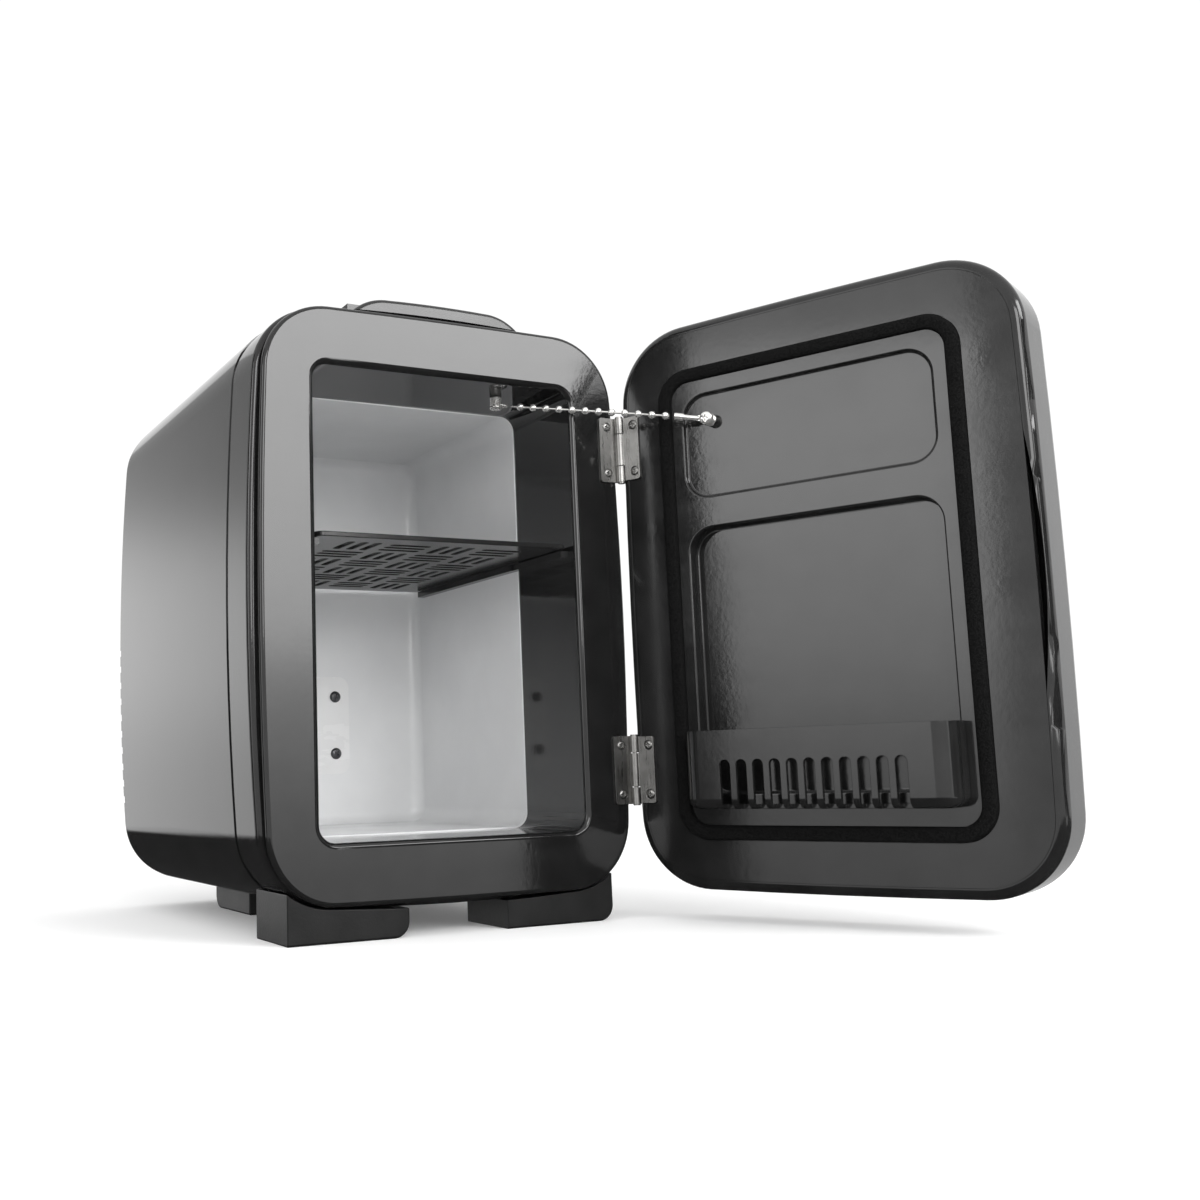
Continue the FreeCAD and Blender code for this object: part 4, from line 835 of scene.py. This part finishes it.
def weaveTree():
    tree, goesIn, goesOut = newTree("basketWeave", ("Cell", "Object"), ("Pitch", "Float"), ("Columns", "Int"),
                                    ("Rows", "Int"), ("Middle", "Vector"), ("Material", "Material"))
    info = tree.nodes.new("GeometryNodeObjectInfo")
    info.inputs["As Instance"].default_value = True
    grid = tree.nodes.new("GeometryNodeMeshGrid")
    place = tree.nodes.new("GeometryNodeInstanceOnPoints")
    move = tree.nodes.new("GeometryNodeTransform")
    turn = tree.nodes.new("ShaderNodeCombineXYZ")
    index = tree.nodes.new("GeometryNodeInputIndex")

    def math2(operation, a, b):
        node = tree.nodes.new("ShaderNodeMath")
        node.operation = operation
        for socket, value in ((node.inputs[0], a), (node.inputs[1], b)):
            if isinstance(value, (int, float)):
                socket.default_value = value
            else:
                tree.links.new(value, socket)
        return node.outputs["Value"]

    columns, rows, pitch = (goesIn.outputs[n] for n in ("Columns", "Rows", "Pitch"))
    tree.links.new(math2("MULTIPLY", math2("SUBTRACT", columns, 1), pitch), grid.inputs["Size X"])
    tree.links.new(math2("MULTIPLY", math2("SUBTRACT", rows, 1), pitch), grid.inputs["Size Y"])
    tree.links.new(columns, grid.inputs["Vertices X"])
    tree.links.new(rows, grid.inputs["Vertices Y"])
    # a cell is turned when its column and row add up to an odd number
    column = math2("FLOOR", math2("DIVIDE", math2("ADD", index.outputs["Index"], 0.5), rows), 0)
    row = math2("SUBTRACT", index.outputs["Index"], math2("MULTIPLY", column, rows))
    odd = math2("MODULO", math2("ADD", column, row), 2)
    tree.links.new(math2("MULTIPLY", odd, math.pi / 2), turn.inputs["Z"])
    tree.links.new(goesIn.outputs["Cell"], info.inputs["Object"])
    tree.links.new(grid.outputs["Mesh"], place.inputs["Points"])
    tree.links.new(info.outputs["Geometry"], place.inputs["Instance"])
    tree.links.new(turn.outputs["Vector"], place.inputs["Rotation"])
    tree.links.new(place.outputs["Instances"], move.inputs["Geometry"])
    tree.links.new(goesIn.outputs["Middle"], move.inputs["Translation"])
    finishTree(tree, move.outputs["Geometry"], goesIn, goesOut)
    return tree


def makeShelf():
    low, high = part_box("shelf")
    cell, border = shelfSizes["cell"], shelfSizes["border"]
    columns = int((high.x - low.x - 2 * border) // cell)
    rows = int((high.y - low.y - 2 * border) // cell)
    middle = Vector(((low.x + high.x) / 2, (low.y + high.y) / 2, low.z))
    half = Vector((columns * cell / 2, rows * cell / 2))
    template = weaveCell(high.z - low.z)
    values = {"Cell": template, "Pitch": cell, "Columns": columns, "Rows": rows, "Middle": tuple(middle),
              "Material": shelfPlastic}
    weave = runTree("shelfWeave", weaveTree(), pointMesh("shelfWeave", [middle]), **values)
    bpy.data.objects.remove(template)
    # border: rounded outline down to the weave's rectangle, with soft edges
    rounds, side = shelfSizes["perCorner"], shelfSizes["corner"]
    outer, inner = [], []
    for cx, cy, start in ((1, 1, 0), (-1, 1, 90), (-1, -1, 180), (1, -1, 270)):
        centre = Vector((middle.x + cx * ((high.x - low.x) / 2 - side),
                         middle.y + cy * ((high.y - low.y) / 2 - side)))
        for k in range(rounds + 1):
            angle = math.radians(start + 90 * k / rounds)
            outer.append(centre + Vector((math.cos(angle), math.sin(angle))) * side)
            inner.append(Vector((middle.x + cx * half.x, middle.y + cy * half.y)))
    bm = bmesh.new()
    edge = shelfSizes["edge"]
    rim = {}
    for key, ring, z, grow in (("lowIn", inner, low.z, 0), ("lowOut", outer, low.z, edge),
                               ("midLow", outer, low.z + edge, 0), ("midHigh", outer, high.z - edge, 0),
                               ("highOut", outer, high.z, edge), ("highIn", inner, high.z, 0)):
        loop = []
        for p in ring:
            away = Vector((p.x - middle.x, p.y - middle.y)).normalized()
            loop.append(bm.verts.new((p.x - away.x * grow, p.y - away.y * grow, z)))
        rim[key] = loop
    order = ["lowIn", "lowOut", "midLow", "midHigh", "highOut", "highIn"]
    for a, b in zip(order, order[1:]):
        count = len(outer)
        for k in range(count):
            bm.faces.new((rim[a][k], rim[a][(k + 1) % count], rim[b][(k + 1) % count], rim[b][k]))
    bmesh.ops.remove_doubles(bm, verts=bm.verts, dist=1e-6)
    bmesh.ops.dissolve_degenerate(bm, edges=bm.edges, dist=1e-7)
    bm.from_mesh(weave.data)
    bmesh.ops.remove_doubles(bm, verts=bm.verts, dist=2e-6)
    bpy.data.objects.remove(weave)
    shelf = fromBmesh("shelfWeave", bm, smooth=False)
    dress(shelf, "shelf", shelfPlastic, "part_black", "shelf")


makeShelf()
print("shelf woven")


# Edges that a hand meets are softened on merged copies of the plainer mouldings.
softEdges = {
    "foot_front_left": ("frontFootLeft", "cabinet", 0.0009),
    "foot_front_right": ("frontFootRight", "cabinet", 0.0009),
    "foot_rear_left": ("rearFootLeft", "cabinet", 0.0009),
    "foot_rear_right": ("rearFootRight", "cabinet", 0.0009),
    "door_bin": ("bottleBin", "door", 0.0004),
    "switch_housing": ("switchSurround", "cabinet", 0.0003),
    "switch_rocker": ("switchKey", "switch_rocker", 0.0003),
    "mains_inlet": ("mainsSocket", "cabinet", 0.0003),
    "hinge_cabinet_leaf_upper": ("hingeLeafUpper", "cabinet", 0.00014),
    "hinge_cabinet_leaf_lower": ("hingeLeafLower", "cabinet", 0.00014),
    "hinge_door_leaf_upper": ("doorLeafUpper", "door", 0.00014),
    "hinge_door_leaf_lower": ("doorLeafLower", "door", 0.00014),
}


def makeSoftEdges(nodeName, name, body, width):
    bm = joinedCopy(nodeName)
    bmesh.ops.dissolve_limit(bm, angle_limit=math.radians(1.0), verts=bm.verts, edges=bm.edges)
    mesh = bpy.data.meshes.new(name)
    bm.to_mesh(mesh)
    bm.free()
    for face in mesh.polygons:
        face.use_smooth = True
    piece = meshPiece(name, mesh)
    addModifier(piece, "BEVEL", width=width, segments=3, limit_method="ANGLE", angle_limit=math.radians(35),
                use_clamp_overlap=True)
    addModifier(piece, "WEIGHTED_NORMAL", mode="FACE_AREA", weight=50, keep_sharp=True)
    mat = nodes[nodeName].data.materials[0]
    slotName = slotOf[nodeName]
    dress(bake(piece), body, mat, slotName, nodeName)


for nodeName, (name, body, width) in softEdges.items():
    makeSoftEdges(nodeName, name, body, width)
print("edges softened")


studio = {
    "floorSize": 14.0,
    "floorTone": 0.96,
    "floorLift": 0.10,
    "sky": 1.05,          # plain white round the object
    "horizon": -0.12,     # below this the sky turns dark for reflections
    "below": 0.03,
    "soften": 0.004,
}


def makeFloor():
    bm = bmesh.new()
    bmesh.ops.create_grid(bm, x_segments=4, y_segments=4, size=studio["floorSize"] / 2)
    floor = fromBmesh("floor", bm, smooth=False)
    mat, tree, shader, coords = newMaterial("floorPaper")
    grain = noiseNode(tree, coords, 90.0, 5.0)
    tone = studio["floorTone"]
    tree.links.new(rampNode(tree, grain.outputs["Fac"], grey(tone - 0.01), grey(tone + 0.01)),
                   shader.inputs["Base Color"])
    shader.inputs["Roughness"].default_value = 0.9
    shader.inputs["Specular IOR Level"].default_value = 0.1
    shader.inputs["Emission Color"].default_value = (1, 1, 1, 1)
    shader.inputs["Emission Strength"].default_value = studio["floorLift"]
    floor.data.materials.append(mat)
    floor.visible_glossy = False  # gloss sees the dark room below the horizon instead


def makeSky():
    world = bpy.data.worlds.new("whiteRoom")
    world.use_nodes = True
    tree = world.node_tree
    tree.nodes.clear()
    coords = tree.nodes.new("ShaderNodeTexCoord")
    split = tree.nodes.new("ShaderNodeSeparateXYZ")
    ramp = tree.nodes.new("ShaderNodeValToRGB")
    light = tree.nodes.new("ShaderNodeBackground")
    out = tree.nodes.new("ShaderNodeOutputWorld")
    tree.links.new(coords.outputs["Generated"], split.inputs["Vector"])
    shift = tree.nodes.new("ShaderNodeMath")
    shift.operation = "MULTIPLY_ADD"
    shift.inputs[1].default_value = 0.5
    shift.inputs[2].default_value = 0.5
    tree.links.new(split.outputs["Z"], shift.inputs[0])
    tree.links.new(shift.outputs["Value"], ramp.inputs["Fac"])
    edge = 0.5 + 0.5 * studio["horizon"]
    ramp.color_ramp.elements[0].position = edge - studio["soften"]
    ramp.color_ramp.elements[1].position = edge + studio["soften"]
    ramp.color_ramp.elements[0].color = (*grey(studio["below"]), 1)
    ramp.color_ramp.elements[1].color = (*grey(1.0), 1)
    tree.links.new(ramp.outputs["Color"], light.inputs["Color"])
    light.inputs["Strength"].default_value = studio["sky"]
    tree.links.new(light.outputs["Background"], out.inputs["Surface"])
    bpy.context.scene.world = world


# each soft box: where its middle is, what it faces, its size, and its brightness at heights from 0 to 1
softBoxes = {
    "frontBox": {"at": (0.47, -1.10, 0.36), "facing": (0.0, 0.0, 0.16), "wide": 0.60, "high": 1.10,
                 "glow": ((0.0, 1.2), (0.12, 1.5), (0.32, 3.6), (0.44, 7.4), (0.75, 9.4), (1.0, 11.0))},
    "leftBox": {"at": (-1.0, -0.13, 0.30), "facing": (0.5, -0.13, 0.30), "wide": 0.38, "high": 0.90,
                "glow": ((0.0, 1.1), (0.17, 1.5), (0.47, 3.5), (0.78, 4.4), (0.86, 2.2), (1.0, 2.0))},
    "rearBox": {"at": (-0.62, 1.60, 0.45), "facing": (-0.62, 0.0, 0.45), "wide": 1.0, "high": 1.1,
                "glow": ((0.0, 1.2), (0.10, 1.25), (0.36, 1.6), (0.66, 0.62), (1.0, 0.5))},
    "rightBox": {"at": (1.50, 0.60, 0.30), "facing": (0.0, 0.60, 0.30), "wide": 1.9, "high": 1.6,
                 "glow": ((0.0, 0.6), (0.3, 0.8), (0.6, 1.0), (1.0, 1.0)), "glossOnly": True},
    "fillBox": {"at": (-0.45, -1.30, 0.55), "facing": (0.0, 0.1, 0.16), "wide": 0.6, "high": 0.6,
                "glow": ((0.0, 5.5), (1.0, 7.5))},
}

# black cards that only the gloss sees, each by its corners
blackCards = {
    "rightCard": ((0.385, -0.60, -0.12), (0.62, -0.60, -0.12), (0.62, -0.60, 0.56), (0.50, -0.60, 0.50),
                  (0.44, -0.60, 0.42), (0.20, -0.60, 0.42), (0.20, -0.60, 0.015), (0.385, -0.60, 0.015)),
    "leftCard": ((-0.995, -0.02, -0.2), (-0.995, 0.50, -0.2), (-0.995, 0.50, 1.0), (-0.995, 0.05, 1.0)),
}


def makeBlackCard(name, corners):
    bm = bmesh.new()
    bm.faces.new([bm.verts.new(c) for c in corners])
    card = fromBmesh(name, bm, smooth=False)
    mat, _, shader, _ = newMaterial(name)
    shader.inputs["Base Color"].default_value = (0.0, 0.0, 0.0, 1)
    shader.inputs["Specular IOR Level"].default_value = 0.0
    card.data.materials.append(mat)
    card.visible_camera = False
    card.visible_shadow = False
    card.visible_diffuse = False


def makeSoftBox(name, spec):
    # a glowing panel whose light grows from its low end to its top
    bm = bmesh.new()
    bmesh.ops.create_grid(bm, x_segments=1, y_segments=1, size=0.5)
    panel = fromBmesh(name, bm, smooth=False)
    at = Vector(spec["at"])
    toward = (Vector(spec["facing"]) - at).normalized()
    turn = toward.to_track_quat("Z", "Y")
    panel.matrix_world = (Matrix.Translation(at) @ turn.to_matrix().to_4x4()
                          @ Matrix.Diagonal((spec["wide"], spec["high"], 1, 1)))
    mat = bpy.data.materials.new(name)
    mat.use_nodes = True
    tree = mat.node_tree
    tree.nodes.clear()
    coords = tree.nodes.new("ShaderNodeTexCoord")
    split = tree.nodes.new("ShaderNodeSeparateXYZ")
    height = tree.nodes.new("ShaderNodeFloatCurve")
    brightest = max(value for _, value in spec["glow"])
    curve = height.mapping.curves[0]
    for place, value in spec["glow"][1:-1]:
        curve.points.new(place, value / brightest)
    curve.points[0].location = (0.0, spec["glow"][0][1] / brightest)
    curve.points[-1].location = (1.0, spec["glow"][-1][1] / brightest)
    height.mapping.update()
    lift = tree.nodes.new("ShaderNodeMath")
    lift.operation = "ADD"
    lift.inputs[1].default_value = 0.5
    strength = tree.nodes.new("ShaderNodeMath")
    strength.operation = "MULTIPLY"
    strength.inputs[1].default_value = brightest
    glow = tree.nodes.new("ShaderNodeEmission")
    out = tree.nodes.new("ShaderNodeOutputMaterial")
    tree.links.new(coords.outputs["Object"], split.inputs["Vector"])
    tree.links.new(split.outputs["Y"], lift.inputs[0])
    tree.links.new(lift.outputs["Value"], height.inputs["Value"])
    tree.links.new(height.outputs["Value"], strength.inputs[0])
    tree.links.new(strength.outputs["Value"], glow.inputs["Strength"])
    tree.links.new(glow.outputs["Emission"], out.inputs["Surface"])
    panel.data.materials.append(mat)
    panel.visible_camera = False
    if spec.get("glossOnly"):
        panel.visible_diffuse = False
        panel.visible_shadow = False


view = {
    "place": (-0.2736, -0.5207, 0.0698),
    "turn": 26.016,        # degrees to the right of straight at the front
    "rise": 7.941,
    "roll": -1.491,
    "lens": 40.42,
    "shift": (0.1552, -0.0155),
}


def makeCamera():
    data = bpy.data.cameras.new("camera")
    camera = bpy.data.objects.new("camera", data)
    bpy.context.scene.collection.objects.link(camera)
    data.sensor_width = 36.0
    data.lens = view["lens"]
    data.shift_x, data.shift_y = view["shift"]
    data.clip_start = 0.01
    data.clip_end = 50.0
    turn, rise = math.radians(view["turn"]), math.radians(view["rise"])
    forward = Vector((math.sin(turn) * math.cos(rise), math.cos(turn) * math.cos(rise), math.sin(rise)))
    level = forward.to_track_quat("-Z", "Y").to_matrix().to_4x4()
    camera.matrix_world = (Matrix.Translation(view["place"]) @ level
                           @ Matrix.Rotation(math.radians(view["roll"]), 4, "Z"))
    bpy.context.scene.camera = camera


makeFloor()
makeSky()
for boxName, spec in softBoxes.items():
    makeSoftBox(boxName, spec)
for cardName, corners in blackCards.items():
    makeBlackCard(cardName, corners)
makeCamera()
bpy.context.scene.view_settings.view_transform = "Standard"
print("studio ready")
